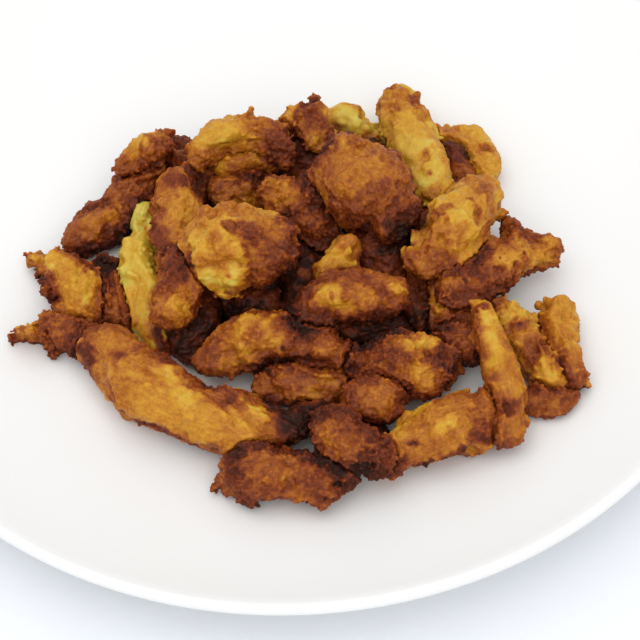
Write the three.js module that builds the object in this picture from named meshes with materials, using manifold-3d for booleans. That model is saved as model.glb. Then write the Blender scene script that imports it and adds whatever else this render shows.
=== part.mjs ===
// A side of fried plantain: browned, ragged pieces of ripe plantain heaped on a plain coupe plate.
// Millimetres, +Z up. The origin is the plate's centre, on the table that it stands on.
import * as THREE from "three";
import { mergeVertices } from "three/addons/utils/BufferGeometryUtils.js";
import Module from "manifold-3d";

const wasm = await Module();
wasm.setup();

// ---- Driving dimensions ----

const GAP = 0.3; // kept clear between any two pieces

// The plate: a coupe shape, flat in the middle, that rises in one curve to a rounded lip.
const PLATE_RADIUS = 135;
const PLATE_HEIGHT = 24;
const WELL_RADIUS = 84; // where the eating surface starts to rise
const WELL_TOP = 8; // height of the eating surface above the table
const PLATE_WALL = 5;
const LIP_WALL = 3.6; // thickness of the rounded lip
const RISE_POWER = 1.8; // above 1, the rise steepens towards the lip
const RISE_STEPS = 4;
const LIP_STEPS = 4;
const CROWN_RADIUS = PLATE_RADIUS - LIP_WALL / 2; // where the lip is highest
const FOOT_RADIUS = 78; // outside of the foot ring
const FOOT_WIDTH = 5;
const FOOT_FLARE = 1.2; // how much wider the ring is on each side at its root
const PLATE_SIDES = 36;
const GLAZE_ROUGHNESS = 0.25;

// The plantain: the shape of a piece is a loft along its spine.
const SIDES = 7; // corners of each section
const RINGS_PER_SPAN = 2; // sections between two points of a spine
const CAP_STEPS = [0.7]; // where the sections of a rounded end stand, as shares of its length
const FLATNESS = 0.88; // thickness of a section as a share of its width
const BLUNTNESS = 0.9; // length of a rounded end as a share of its half width
const SQUARENESS = 2.3; // 2 is an ellipse, and more is boxier
const LUMPINESS = 0.07; // how far the crust swells and sinks, as a share of the half width
const LUMP_TURN = 1.9; // radians of a swell from one section to the next
const RAGGEDNESS = 0.16; // how uneven the torn ends are, as a share of the half width
const TIP_SIDES = 4; // corners of a torn tip's section
const TIP_SHARPNESS = 0.35; // width at the end of a torn tip as a share of its root
const ROOT_TRIES = 20; // points of a spine that a torn tip's root is picked from
const CRUST_ROUGHNESS = 0.6;

const GLAZE = new THREE.Color(0xf4f3f1);
const PALE = new THREE.Color(0xc2a63f);
const GOLD = new THREE.Color(0xb97a2a);
const AMBER = new THREE.Color(0xa3581f);
const RUST = new THREE.Color(0x7d3d1a);
const DARK = new THREE.Color(0x45201a);

// Every piece of plantain, from the top of the heap down. A piece is pressed in by those before it.
// spine: points along its middle. widths: its width at each of them. tips: torn tips, [x, y, z, width].
const PLANTAIN = [
  {
    name: "plantain_centre_bridge",
    colour: AMBER,
    spine: [[5, -37, 25], [14, -36, 28], [27, -36, 27]],
    widths: [13, 17, 14],
    tips: [[-2, -38, 22, 6], [3, -43, 20, 6]],
  },
  {
    name: "plantain_front_nub",
    colour: AMBER,
    spine: [[17, -66, 19], [24, -66, 19]],
    widths: [12, 13],
  },
  {
    name: "plantain_centre_pitted",
    colour: RUST,
    spine: [[19, -53, 18], [29, -55, 20], [40, -56, 18]],
    widths: [13, 20, 15],
  },
  {
    name: "plantain_right_nub",
    colour: RUST,
    spine: [[42, -49, 17], [48, -47, 17]],
    widths: [11, 11],
  },
  {
    name: "plantain_front_saddle",
    colour: RUST,
    spine: [[7, -75, 23], [13, -81, 23], [21, -87, 20]],
    widths: [10, 15, 10],
    tips: [[26, -84, 17, 5]],
  },
  {
    name: "plantain_right_strip",
    colour: GOLD,
    spine: [[53, -41, 25], [55, -53, 24], [58, -65, 20], [57, -76, 16]],
    widths: [6, 10, 11, 14],
  },
  {
    name: "plantain_front_right",
    colour: GOLD,
    spine: [[24, -84, 15], [36, -78, 17], [48, -74, 17]],
    widths: [12, 18, 19],
  },
  {
    name: "plantain_front_long",
    colour: GOLD,
    spine: [[-55, -43, 17], [-45, -56, 18], [-29, -68, 18], [-14, -72, 17], [-4, -73, 16]],
    widths: [16, 21, 20, 16, 11],
    tips: [[-61, -47, 13, 6]],
  },
  {
    name: "plantain_centre_bent",
    colour: GOLD,
    spine: [[-25, -48, 18], [-13, -44, 21], [0, -46, 20], [9, -50, 20]],
    widths: [9, 17, 13, 12],
  },
  {
    name: "plantain_front_inner",
    colour: AMBER,
    spine: [[-7, -55, 13], [1, -56, 14], [9, -56, 13]],
    widths: [10, 13, 12],
    tips: [[-12, -53, 13, 5]],
  },
  {
    name: "plantain_top_left",
    colour: GOLD,
    spine: [[-25, -16, 31], [-17, -21, 33], [-9, -20, 32]],
    widths: [17, 27, 23],
    flat: 0.8,
    tips: [[-19, -33, 23, 4]],
  },
  {
    name: "plantain_centre_peak",
    colour: AMBER,
    spine: [[14, -18, 27], [12, -24, 24]],
    widths: [8, 13],
  },
  {
    name: "plantain_top_right",
    colour: GOLD,
    spine: [[56, 0, 25], [47, -13, 28], [38, -22, 27]],
    widths: [15, 20, 15],
    flat: 0.85,
    tips: [[32, -25, 24, 6]],
  },
  {
    name: "plantain_top_lump",
    colour: RUST,
    spine: [[16, 7, 33], [23, -1, 34], [29, -9, 31]],
    widths: [20, 29, 19],
    flat: 0.8,
    tips: [[27, -13, 25, 9]],
  },
  {
    name: "plantain_back_frilled",
    colour: PALE,
    spine: [[34, 45, 16], [37, 30, 19], [41, 13, 23], [42, 3, 24]],
    widths: [13, 15, 13, 9],
    tips: [[28, 48, 16, 5], [34, 51, 16, 7], [40, 49, 16, 6], [43, 42, 17, 5]],
  },
  {
    name: "plantain_centre_slant",
    colour: AMBER,
    spine: [[-2, 6, 25], [3, 0, 24], [9, -8, 21]],
    widths: [11, 14, 11],
  },
  {
    name: "plantain_back_curl",
    colour: GOLD,
    spine: [[-27, 20, 24], [-23, 26, 26], [-15, 28, 27], [-5, 26, 26], [0, 20, 24]],
    widths: [8, 10, 11, 12, 10],
    tips: [[-11, 35, 29, 5]],
  },
  {
    name: "plantain_back_inner",
    colour: AMBER,
    spine: [[-19, 21, 17], [-12, 24, 18], [-3, 26, 17]],
    widths: [10, 12, 10],
  },
  {
    name: "plantain_back_nub",
    colour: RUST,
    spine: [[-21, 15, 15], [-13, 16, 15], [-9, 15, 15]],
    widths: [10, 11, 9],
  },
  {
    name: "plantain_left_stub",
    colour: AMBER,
    spine: [[-32, -20, 25], [-34, -30, 25], [-36, -36, 24]],
    widths: [11, 14, 13],
  },
  {
    name: "plantain_left_upright",
    colour: AMBER,
    spine: [[-34, 12, 22], [-34, 1, 22], [-36, -12, 21], [-34, -17, 19]],
    widths: [13, 16, 15, 10],
  },
  {
    name: "plantain_front_slab",
    colour: RUST,
    spine: [[-19, -87, 15], [-10, -87, 16], [3, -90, 15], [13, -91, 15]],
    widths: [14, 17, 15, 9],
    tips: [[-25, -88, 11, 6], [-20, -92, 11, 5], [8, -95, 11, 6]],
  },
  {
    name: "plantain_right_end",
    colour: GOLD,
    spine: [[76, -35.5, 14], [76, -47.5, 14], [78, -58.5, 14]],
    widths: [10, 11, 10],
    tips: [[70, -34, 15, 4], [82, -38, 15, 4], [82, -61, 14, 4]],
  },
  {
    name: "plantain_right_olive",
    colour: PALE,
    spine: [[60, -37.5, 16], [66, -47.5, 15], [73, -59.5, 14]],
    widths: [10, 15, 10],
    tips: [[62, -34, 18, 4], [57, -32, 18, 4]],
  },
  {
    name: "plantain_right_under",
    colour: RUST,
    spine: [[66, -65, 13], [72, -66, 13], [75, -65, 13]],
    widths: [8, 8, 6],
    tips: [[79, -63, 12, 4]],
  },
  {
    name: "plantain_right_wedge",
    colour: RUST,
    spine: [[73, -17, 18], [66, -18, 19], [55, -26, 21], [46, -33, 22]],
    widths: [13, 17, 14, 12],
    flat: 0.8,
    tips: [[63, -6, 20, 6], [75, -11, 20, 6], [79, -17, 18, 5], [76, -22, 16, 6]],
  },
  {
    name: "plantain_right_inner",
    colour: AMBER,
    spine: [[44, -28, 16], [46, -38, 15]],
    widths: [13, 14],
  },
  {
    name: "plantain_back_hook",
    colour: GOLD,
    spine: [[46, 33, 13], [55, 30, 14], [59, 24, 14], [59, 17, 14]],
    widths: [8, 10, 10, 9],
  },
  {
    name: "plantain_back_pale",
    colour: PALE,
    spine: [[14, 43, 12], [20, 42, 13], [27, 36, 12]],
    widths: [8, 11, 8],
  },
  {
    name: "plantain_back_ridge",
    colour: RUST,
    spine: [[1, 34, 23], [7, 33, 24], [9, 26, 23]],
    widths: [8, 11, 9],
    tips: [[9, 41, 25, 6]],
  },
  {
    name: "plantain_left_pale",
    colour: PALE,
    spine: [[-43, 6, 17], [-45, -6, 16], [-44, -20, 15], [-42, -33, 13], [-40, -40, 11]],
    widths: [5, 10, 12, 9, 5],
  },
  {
    name: "plantain_left_crescent",
    colour: GOLD,
    spine: [[-76, -7, 13], [-70, -14, 15], [-65, -20, 15], [-63, -28, 13]],
    widths: [8, 15, 17, 12],
    tips: [[-80, -4, 13, 4], [-78, -14, 12, 6], [-72, -27, 11, 7]],
  },
  {
    name: "plantain_left_end",
    colour: RUST,
    spine: [[-75, -33, 12], [-68, -34, 13], [-61, -38, 13]],
    widths: [9, 12, 11],
    tips: [[-78, -39, 11, 4], [-79, -31, 12, 5]],
  },
  {
    name: "plantain_left_back_tip",
    colour: AMBER,
    spine: [[-50, 21, 21], [-42, 25, 23], [-36, 27, 24]],
    widths: [8, 10, 8],
    tips: [[-34, 32, 24, 4], [-40, 32, 25, 4]],
  },
  {
    name: "plantain_left_back",
    colour: RUST,
    spine: [[-64, 0, 14], [-53, 10, 14], [-44, 22, 14]],
    widths: [12, 15, 14],
    tips: [[-62, 12, 14, 5], [-55, 17, 15, 6]],
  },
  {
    name: "plantain_left_under",
    colour: RUST,
    spine: [[-56, -9, 12], [-54, -19, 12], [-51, -29, 12]],
    widths: [8, 10, 8],
  },
  {
    name: "plantain_back_dark",
    colour: DARK,
    spine: [[-36, 31, 14], [-28, 27, 14], [-25, 17, 13]],
    widths: [10, 11, 10],
  },
  {
    name: "plantain_centre_under",
    colour: DARK,
    spine: [[8, -40, 13], [18, -38, 14], [28, -40, 13]],
    widths: [10, 13, 11],
  },
  {
    name: "plantain_centre_hidden",
    colour: DARK,
    spine: [[24, -3, 18], [27, -11, 18], [28, -20, 15]],
    widths: [15, 16, 13],
  },
  {
    name: "plantain_right_hidden",
    colour: DARK,
    spine: [[47, 8, 14], [42, -8, 15], [37, -22, 14], [35, -35, 13]],
    widths: [12, 15, 12, 10],
  },
  {
    name: "plantain_left_hidden",
    colour: DARK,
    spine: [[-26, -2, 15], [-18, -14, 16], [-11, -28, 14]],
    widths: [12, 16, 14],
  },
  {
    name: "plantain_back_hidden",
    colour: DARK,
    spine: [[-4, 28, 14], [10, 25, 15], [26, 20, 14]],
    widths: [12, 16, 13],
  },
  {
    name: "plantain_back_low",
    colour: DARK,
    spine: [[48, 23, 13], [53, 14, 13]],
    widths: [12, 11],
  },
  {
    name: "plantain_left_low",
    colour: DARK,
    spine: [[-30, -22, 14], [-31, -33, 14], [-30, -41, 12]],
    widths: [12, 13, 9],
  },
  {
    name: "plantain_centre_low",
    colour: DARK,
    spine: [[6, -10, 14], [4, -20, 14], [0, -33, 13]],
    widths: [11, 13, 10],
  },
  {
    name: "plantain_front_low",
    colour: DARK,
    spine: [[1, -65, 12], [9, -70, 12], [20, -73, 12]],
    widths: [7, 9, 8],
  },
];

// ---- Solids ----

// A mesh's geometry as a solid: shared corners merged, and the flat triangles at a pole dropped.
function toSolid(geometry) {
  const bare = geometry.clone().deleteAttribute("normal").deleteAttribute("uv");
  const merged = mergeVertices(bare, 1e-4);
  const kept = [];
  for (let i = 0; i < merged.index.count; i += 3) {
    const [a, b, c] = [0, 1, 2].map((k) => merged.index.getX(i + k));
    if (a !== b && b !== c && c !== a) kept.push(a, b, c);
  }
  return new wasm.Manifold(
    new wasm.Mesh({
      numProp: 3,
      vertProperties: merged.attributes.position.array,
      triVerts: new Uint32Array(kept),
    }),
  );
}

function toGeometry(solid) {
  const made = solid.getMesh();
  const geometry = new THREE.BufferGeometry();
  geometry.setAttribute("position", new THREE.BufferAttribute(made.vertProperties, 3));
  geometry.setIndex(new THREE.BufferAttribute(made.triVerts, 1));
  geometry.computeVertexNormals();
  return geometry;
}

// The largest body of a solid: a cut can leave a crumb beside it.
function largestBody(solid) {
  return solid.decompose().reduce((a, b) => (b.volume() > a.volume() ? b : a));
}

// The same numbers between -1 and 1 every time, for the unevenness of one piece.
function unevenness(seed) {
  let state = seed * 2654435761;
  return () => {
    state = (Math.imul(state ^ (state >>> 15), 2246822519) + 374761393) | 0;
    return (state ^ (state >>> 13)) / 2147483648;
  };
}

// ---- Plate ----

// Height of the eating surface at a distance from the middle.
function surfaceHeight(radius) {
  const along = Math.max(0, (radius - WELL_RADIUS) / (CROWN_RADIUS - WELL_RADIUS));
  return WELL_TOP + (PLATE_HEIGHT - WELL_TOP) * along ** RISE_POWER;
}

function lathe(profile) {
  return new THREE.LatheGeometry(profile, PLATE_SIDES).rotateX(Math.PI / 2);
}

// The eating surface from the lip's crown in to the middle, as radius and height.
function surfaceProfile(lift) {
  const points = [];
  for (let i = RISE_STEPS; i >= 0; i--) {
    const radius = THREE.MathUtils.lerp(WELL_RADIUS, CROWN_RADIUS, i / RISE_STEPS);
    points.push(new THREE.Vector2(radius, surfaceHeight(radius) + lift));
  }
  points.push(new THREE.Vector2(0, WELL_TOP + lift));
  return points;
}

// The outline of half the plate: the underside from the middle out, the lip, and back in on top.
function plateProfile() {
  const under = WELL_TOP - PLATE_WALL;
  const points = [
    new THREE.Vector2(0, under),
    new THREE.Vector2(FOOT_RADIUS - FOOT_WIDTH - FOOT_FLARE, under),
    new THREE.Vector2(FOOT_RADIUS - FOOT_WIDTH, 0),
    new THREE.Vector2(FOOT_RADIUS, 0),
    new THREE.Vector2(FOOT_RADIUS + FOOT_FLARE, under),
  ];
  for (let i = 0; i < RISE_STEPS; i++) {
    const share = i / RISE_STEPS;
    const radius = THREE.MathUtils.lerp(WELL_RADIUS, CROWN_RADIUS, share);
    const wall = THREE.MathUtils.lerp(PLATE_WALL, LIP_WALL, share);
    points.push(new THREE.Vector2(radius, surfaceHeight(radius) - wall));
  }
  const round = LIP_WALL / 2;
  for (let i = 0; i < LIP_STEPS; i++) {
    const angle = -Math.PI / 2 + (Math.PI * i) / LIP_STEPS;
    const height = PLATE_HEIGHT - round + round * Math.sin(angle);
    points.push(new THREE.Vector2(CROWN_RADIUS + round * Math.cos(angle), height));
  }
  return points.concat(surfaceProfile(0));
}

// All that lies under the eating surface and the gap above it: what no plantain may enter.
function belowSurface() {
  const floor = [new THREE.Vector2(0, 0), new THREE.Vector2(CROWN_RADIUS, 0)];
  return toSolid(lathe(floor.concat(surfaceProfile(GAP))));
}

// ---- Plantain ----

// One piece as a closed loft: rings along the spine, rounded ends, lumps and torn edges.
function loft(piece, seed, grown) {
  const smooth = (points) => new THREE.CatmullRomCurve3(points, false, "catmullrom", 0.5);
  const path = smooth(piece.spine.map((p) => new THREE.Vector3(...p)));
  const size = smooth(piece.widths.map((w) => new THREE.Vector3(w / 2, 0, 0)));
  const flat = piece.flat ?? FLATNESS;
  const rings = [];
  const steps = RINGS_PER_SPAN * (piece.spine.length - 1);
  const end = (t, sign) => {
    const half = size.getPoint(t).x;
    const reach = half * BLUNTNESS + grown;
    return (share) => ({ t, slide: sign * reach * share, scale: Math.sqrt(1 - share * share) });
  };
  const head = end(0, -1);
  const tail = end(1, 1);
  CAP_STEPS.toReversed().forEach((share) => rings.push(head(share)));
  for (let i = 0; i <= steps; i++) rings.push({ t: i / steps, slide: 0, scale: 1 });
  CAP_STEPS.forEach((share) => rings.push(tail(share)));

  const place = (t, slide) => path.getPoint(t).addScaledVector(path.getTangent(t), slide);
  const corners = [];
  const uneven = unevenness(seed);
  rings.forEach(({ t, slide, scale }, ring) => {
    const along = path.getTangent(t);
    const side = new THREE.Vector3(0, 0, 1).cross(along).normalize();
    const up = along.clone().cross(side);
    const half = size.getPoint(t).x;
    const torn = slide === 0 ? 0 : RAGGEDNESS * half;
    const swell = 1 + LUMPINESS * Math.sin(LUMP_TURN * ring + seed);
    for (let corner = 0; corner < SIDES; corner++) {
      const angle = (2 * Math.PI * (corner + (ring % 2) / 2)) / SIDES;
      const round = Math.hypot(Math.cos(angle), Math.sin(angle));
      const power = Math.abs(Math.cos(angle)) ** SQUARENESS + Math.abs(Math.sin(angle)) ** SQUARENESS;
      const reach = (round / power ** (1 / SQUARENESS)) * swell + LUMPINESS * uneven();
      const across = (half * reach * scale + grown) * Math.cos(angle);
      const height = (half * flat * reach * scale + grown) * Math.sin(angle);
      const point = place(t, slide + torn * uneven());
      corners.push(point.addScaledVector(side, across).addScaledVector(up, height));
    }
  });
  corners.push(place(0, head(1).slide), place(1, tail(1).slide));

  const faces = [];
  const at = (ring, corner) => ring * SIDES + (corner % SIDES);
  const last = rings.length - 1;
  for (let corner = 0; corner < SIDES; corner++) {
    for (let ring = 0; ring < last; ring++) {
      const lean = ring % 2;
      const [a, b] = [at(ring, corner), at(ring, corner + 1)];
      const [c, d] = [at(ring + 1, corner), at(ring + 1, corner + 1)];
      if (lean) faces.push(a, b, d, a, d, c);
      else faces.push(a, b, c, b, d, c);
    }
    faces.push(at(0, corner + 1), at(0, corner), corners.length - 2);
    faces.push(at(last, corner), at(last, corner + 1), corners.length - 1);
  }
  const geometry = new THREE.BufferGeometry().setFromPoints(corners);
  geometry.setIndex(faces);
  return { solid: toSolid(geometry), path };
}

// A torn tip: a tapered stub from inside the piece out to the tip's point.
function tornTip(path, [x, y, z, width], grown) {
  const point = new THREE.Vector3(x, y, z);
  const nearest = path.getSpacedPoints(ROOT_TRIES).reduce(
    (a, b) => (b.distanceTo(point) < a.distanceTo(point) ? b : a),
  );
  const along = point.clone().sub(nearest);
  const root = width / 2 + grown;
  const stub = new THREE.CylinderGeometry(
    root * TIP_SHARPNESS, root, along.length() + grown, TIP_SIDES,
  );
  stub.applyQuaternion(
    new THREE.Quaternion().setFromUnitVectors(
      new THREE.Vector3(0, 1, 0), along.clone().normalize(),
    ),
  );
  const middle = nearest.addScaledVector(along, 0.5);
  return toSolid(stub.translate(middle.x, middle.y, middle.z));
}

function wholePiece(piece, seed, grown) {
  const { solid, path } = loft(piece, seed, grown);
  return (piece.tips ?? []).reduce((sum, tip) => sum.add(tornTip(path, tip, grown)), solid);
}

// ---- The heap on its plate ----

const group = new THREE.Group();

function addMesh(name, geometry, colour, roughness) {
  const material = new THREE.MeshStandardMaterial({ color: colour, roughness, metalness: 0 });
  const mesh = new THREE.Mesh(geometry, material);
  mesh.name = name;
  group.add(mesh);
}

addMesh("plate", lathe(plateProfile()), GLAZE, GLAZE_ROUGHNESS);

PLANTAIN.reduce((above, piece, index) => {
  const seed = index + 1;
  const solid = largestBody(wholePiece(piece, seed, 0).subtract(above));
  addMesh(piece.name, toGeometry(solid), piece.colour, CRUST_ROUGHNESS);
  return above.add(wholePiece(piece, seed, GAP));
}, belowSurface());

export default group;
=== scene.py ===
"""A side of fried ripe plantain: browned, ragged pieces heaped on a plain white coupe plate.

Each piece starts from its solid in the frame. It is rounded, given shreds and a lumpy crust, and
coloured by how far it is fried: raw flesh is pale, then it turns yellow, amber, brown and black.
Painted shade darkens the sides that turn from the light, the seams and hollows, the hidden
pieces in the gaps, and the plate under the heap.
"""

import logging
import math
from abc import ABC, abstractmethod
from dataclasses import dataclass
from enum import Enum

import bmesh
import bpy
import numpy as np
from mathutils import Matrix, Vector
from mathutils.bvhtree import BVHTree


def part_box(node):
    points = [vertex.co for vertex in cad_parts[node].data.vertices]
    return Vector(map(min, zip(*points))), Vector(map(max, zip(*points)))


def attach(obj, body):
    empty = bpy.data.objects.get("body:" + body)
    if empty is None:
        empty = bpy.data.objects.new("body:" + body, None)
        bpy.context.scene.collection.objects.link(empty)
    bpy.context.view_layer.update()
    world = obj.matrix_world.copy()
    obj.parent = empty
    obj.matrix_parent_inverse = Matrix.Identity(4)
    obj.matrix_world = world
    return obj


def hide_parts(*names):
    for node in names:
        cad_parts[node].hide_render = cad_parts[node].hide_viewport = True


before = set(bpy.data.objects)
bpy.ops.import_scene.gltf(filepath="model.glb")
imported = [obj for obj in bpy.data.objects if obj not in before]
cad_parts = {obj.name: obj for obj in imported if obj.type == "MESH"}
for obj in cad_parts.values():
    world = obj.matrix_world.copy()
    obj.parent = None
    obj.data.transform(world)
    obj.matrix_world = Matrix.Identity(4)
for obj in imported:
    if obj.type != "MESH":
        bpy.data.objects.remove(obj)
log = logging.getLogger("fried_plantain")

MM = 0.001
WAVES = 7
TONE_SEED = 50
FRAY_SEED = 90
NOISE_ROUGHNESS = 0.6


# ---- Colours and small helpers ----


def linear(hex_colour: int) -> tuple[float, float, float, float]:
    """Turn a display colour into the light values that a shader works in.

    Args:
        hex_colour: the colour as 0xRRGGBB.

    Returns:
        Red, green, blue and alpha, with the first three linear.
    """
    parts = [((hex_colour >> shift) & 255) / 255 for shift in (16, 8, 0)]
    light = [c / 12.92 if c <= 0.04045 else ((c + 0.055) / 1.055) ** 2.4 for c in parts]
    return (*light, 1.0)


def wobble(points: np.ndarray, spacing: float, seed: int) -> np.ndarray:
    """Smooth unevenness over space, made of a few waves in random directions.

    Args:
        points: places, one a row, in metres.
        spacing: distance from one swell to the next, in metres.
        seed: picks the waves.

    Returns:
        One number for each place, mostly between -1 and 1.
    """
    rng = np.random.default_rng(seed)
    shortest, longest = 0.7, 1.4
    total = np.zeros(len(points))
    for _ in range(WAVES):
        way = rng.normal(size=3)
        way *= 2 * math.pi / (spacing * rng.uniform(shortest, longest) * np.linalg.norm(way))
        total += np.sin(points @ way + rng.uniform(0, 2 * math.pi))
    return total / math.sqrt(WAVES)


def smooth_step(share: np.ndarray) -> np.ndarray:
    """Ease from 0 to 1 as share goes from 0 to 1."""
    held = np.clip(share, 0, 1)
    return held * held * (3 - 2 * held)


def distance_to_line(points: np.ndarray, line: list[Vector]) -> np.ndarray:
    """Measure how far each place is from a line through some points.

    Args:
        points: places, one a row.
        line: the points of the line, at least one.

    Returns:
        The distance of each place.
    """
    nearest = np.linalg.norm(points - np.array(line[0]), axis=1)
    for start, end in zip(line, line[1:]):
        a, along = np.array(start), np.array(end - start)
        share = np.clip((points - a) @ along / max(along @ along, 1e-12), 0, 1)
        nearest = np.minimum(nearest, np.linalg.norm(points - a - share[:, None] * along, axis=1))
    return nearest


def stand(name: str, data: bpy.types.ID) -> bpy.types.Object:
    """Make an object and put it in the scene.

    Args:
        name: the object's name.
        data: its mesh, lamp or camera.

    Returns:
        The new object.
    """
    thing = bpy.data.objects.new(name, data)
    bpy.context.scene.collection.objects.link(thing)
    return thing


# ---- Camera ----


@dataclass(frozen=True)
class Viewpoint:
    """Where the dish is seen from: down from the front, with a long lens."""

    target: tuple[float, float, float] = (6.7 * MM, -24.4 * MM, 0.0)
    distance: float = 713 * MM
    elevation: float = math.radians(54.4)
    roll: float = math.radians(-2.88)
    lens: float = 135.0
    sensor: float = 36.0
    frame_pixels: int = 640

    def axes(self) -> tuple[Vector, Vector, Vector]:
        """Work out how the camera is turned.

        Returns:
            Its right, up and backward directions.
        """
        back = Vector((0, -math.cos(self.elevation), math.sin(self.elevation)))
        level = Vector((1, 0, 0))
        rise = back.cross(level)
        right = level * math.cos(self.roll) + rise * math.sin(self.roll)
        return right, back.cross(right), back

    def place(self) -> Vector:
        """Give the camera's own place."""
        return Vector(self.target) + self.axes()[2] * self.distance

    def ray(self, x: float, y: float) -> Vector:
        """Give the direction in which a pixel of the frame looks.

        Args:
            x: pixels from the frame's left edge.
            y: pixels down from its top edge.

        Returns:
            A unit vector away from the camera.
        """
        right, up, back = self.axes()
        focal = self.frame_pixels * self.lens / self.sensor
        half = self.frame_pixels / 2
        return (right * ((x - half) / focal) + up * ((half - y) / focal) - back).normalized()

    def build(self) -> bpy.types.Object:
        """Make the camera and hand it to the scene.

        Returns:
            The camera's object.
        """
        data = bpy.data.cameras.new("camera")
        data.lens, data.sensor_width = self.lens, self.sensor
        camera = stand("camera", data)
        turn = Matrix(self.axes()).transposed().to_4x4()
        camera.matrix_world = Matrix.Translation(self.place()) @ turn
        bpy.context.scene.camera = camera
        return camera


# ---- Node trees ----


class Graph:
    """A node tree under construction, with short ways to add and join its nodes."""

    def __init__(self, tree: bpy.types.NodeTree) -> None:
        """Take the tree that the nodes go in."""
        self.tree = tree

    def add(self, kind: str, _props: dict | None = None, **inputs: object) -> bpy.types.Node:
        """Add a node.

        Args:
            kind: the node's type.
            _props: settings of the node itself.
            **inputs: what goes in each socket, by name with _ for a space: a value or a socket.

        Returns:
            The new node.
        """
        node = self.tree.nodes.new(kind)
        for name, value in (_props or {}).items():
            setattr(node, name, value)
        for name, value in inputs.items():
            self.feed(node, name, value)
        return node

    def feed(self, node: bpy.types.Node, name: str, value: object) -> None:
        """Join a socket to an input of a node, or set the input's value.

        Args:
            node: the node.
            name: the input's name with _ for a space, or its place as i0, i1 and so on.
            value: a socket or a value.
        """
        if name[0] == "i" and name[1:].isdigit():
            socket = node.inputs[int(name[1:])]
        else:
            wanted = name.replace("_", " ")
            socket = next(s for s in node.inputs if s.name == wanted and s.enabled)
        if isinstance(value, bpy.types.NodeSocket):
            self.tree.links.new(value, socket)
        else:
            socket.default_value = value

    def math(self, operation: str, a: object, b: object = 0.0) -> bpy.types.NodeSocket:
        """Work out a sum, product or the like of two numbers."""
        return self.add("ShaderNodeMath", {"operation": operation}, i0=a, i1=b).outputs[0]

    def vector(
        self, operation: str, a: object, b: object = (0.0, 0.0, 0.0)
    ) -> bpy.types.NodeSocket:
        """Work out a sum, product or the like of two vectors.

        Args:
            operation: what is worked out, by the node's own word for it.
            a: the first vector, or its socket.
            b: the second vector, or its socket.

        Returns:
            The socket of the result.
        """
        node = self.add("ShaderNodeVectorMath", {"operation": operation}, i0=a, i1=b)
        return next(s for s in node.outputs if s.enabled)

    def scaled(self, vector: object, factor: object) -> bpy.types.NodeSocket:
        """Multiply a vector by a number."""
        node = self.add("ShaderNodeVectorMath", {"operation": "SCALE"}, i0=vector, Scale=factor)
        return node.outputs[0]

    def noise(
        self, place: object, scale: object, detail: float = 2.0, swirl: float = 0.0
    ) -> bpy.types.NodeSocket:
        """Make noise about zero, mostly between -0.5 and 0.5.

        Args:
            place: where to read it.
            scale: how many swells there are to a unit of length.
            detail: how many finer layers it has.
            swirl: how much it is stirred.

        Returns:
            The socket of the noise.
        """
        node = self.add(
            "ShaderNodeTexNoise", Vector=place, Scale=scale, Detail=detail, Distortion=swirl
        )
        node.inputs["Roughness"].default_value = NOISE_ROUGHNESS
        return self.math("SUBTRACT", node.outputs[0], 0.5)

    def puffs(self, place: object, scale: object, detail: float = 1.5) -> bpy.types.NodeSocket:
        """Make rounded puffs with creases between them, from about 0 to 0.5."""
        return self.math("ABSOLUTE", self.noise(place, scale, detail, 0.4))

    def total(self, *terms: tuple[object, object]) -> bpy.types.NodeSocket:
        """Add up products.

        Args:
            *terms: pairs of numbers or sockets to multiply.

        Returns:
            The sum of all the products.
        """
        result = 0.0
        for a, b in terms:
            node = self.add("ShaderNodeMath", {"operation": "MULTIPLY_ADD"}, i0=a, i1=b, i2=result)
            result = node.outputs[0]
        return result


class GeometryTree:
    """A Geometry Nodes tree with named inputs, used as a modifier on one object at a time."""

    def __init__(self, name: str, **inputs: str) -> None:
        """Start the tree.

        Args:
            name: the tree's name.
            **inputs: the kind of each input, such as Float, by name with _ for a space.
        """
        self.tree = bpy.data.node_groups.new(name, "GeometryNodeTree")
        self.graph = Graph(self.tree)
        new_socket = self.tree.interface.new_socket
        for key, kind in {"Geometry": "Geometry", **inputs}.items():
            new_socket(key.replace("_", " "), in_out="INPUT", socket_type=f"NodeSocket{kind}")
        new_socket("Geometry", in_out="OUTPUT", socket_type="NodeSocketGeometry")
        self.start = self.tree.nodes.new("NodeGroupInput")

    def given(self, name: str) -> bpy.types.NodeSocket:
        """Give the socket of a named input."""
        return self.start.outputs[name.replace("_", " ")]

    def close(self, geometry: bpy.types.NodeSocket) -> None:
        """End the tree: instances become real faces, and the material goes on.

        Args:
            geometry: the socket of what the tree has made.
        """
        real = self.graph.add("GeometryNodeRealizeInstances", Geometry=geometry)
        dressed = self.graph.add(
            "GeometryNodeSetMaterial", Geometry=real.outputs[0], Material=self.given("Material")
        )
        end = self.tree.nodes.new("NodeGroupOutput")
        self.tree.links.new(dressed.outputs[0], end.inputs[0])

    def put_on(self, piece: bpy.types.Object, sizes: object, **values: object) -> None:
        """Add the tree to an object as a modifier.

        Args:
            piece: the object.
            sizes: has a field for each input that isn't among the values, in small letters.
            **values: what the other inputs are set to.
        """
        modifier = piece.modifiers.new(self.tree.name, "NODES")
        modifier.node_group = self.tree
        for socket in self.tree.interface.items_tree:
            key = socket.name.replace(" ", "_")
            if socket.in_out == "INPUT" and key != "Geometry":
                value = values[key] if key in values else getattr(sizes, key.lower())
                modifier[socket.identifier] = value


def named(graph: Graph, name: str, kind: str = "FLOAT") -> bpy.types.NodeSocket:
    """Read an attribute of the mesh in a Geometry Nodes tree."""
    node = graph.add("GeometryNodeInputNamedAttribute", {"data_type": kind}, Name=name)
    return next(s for s in node.outputs if s.enabled)


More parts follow.
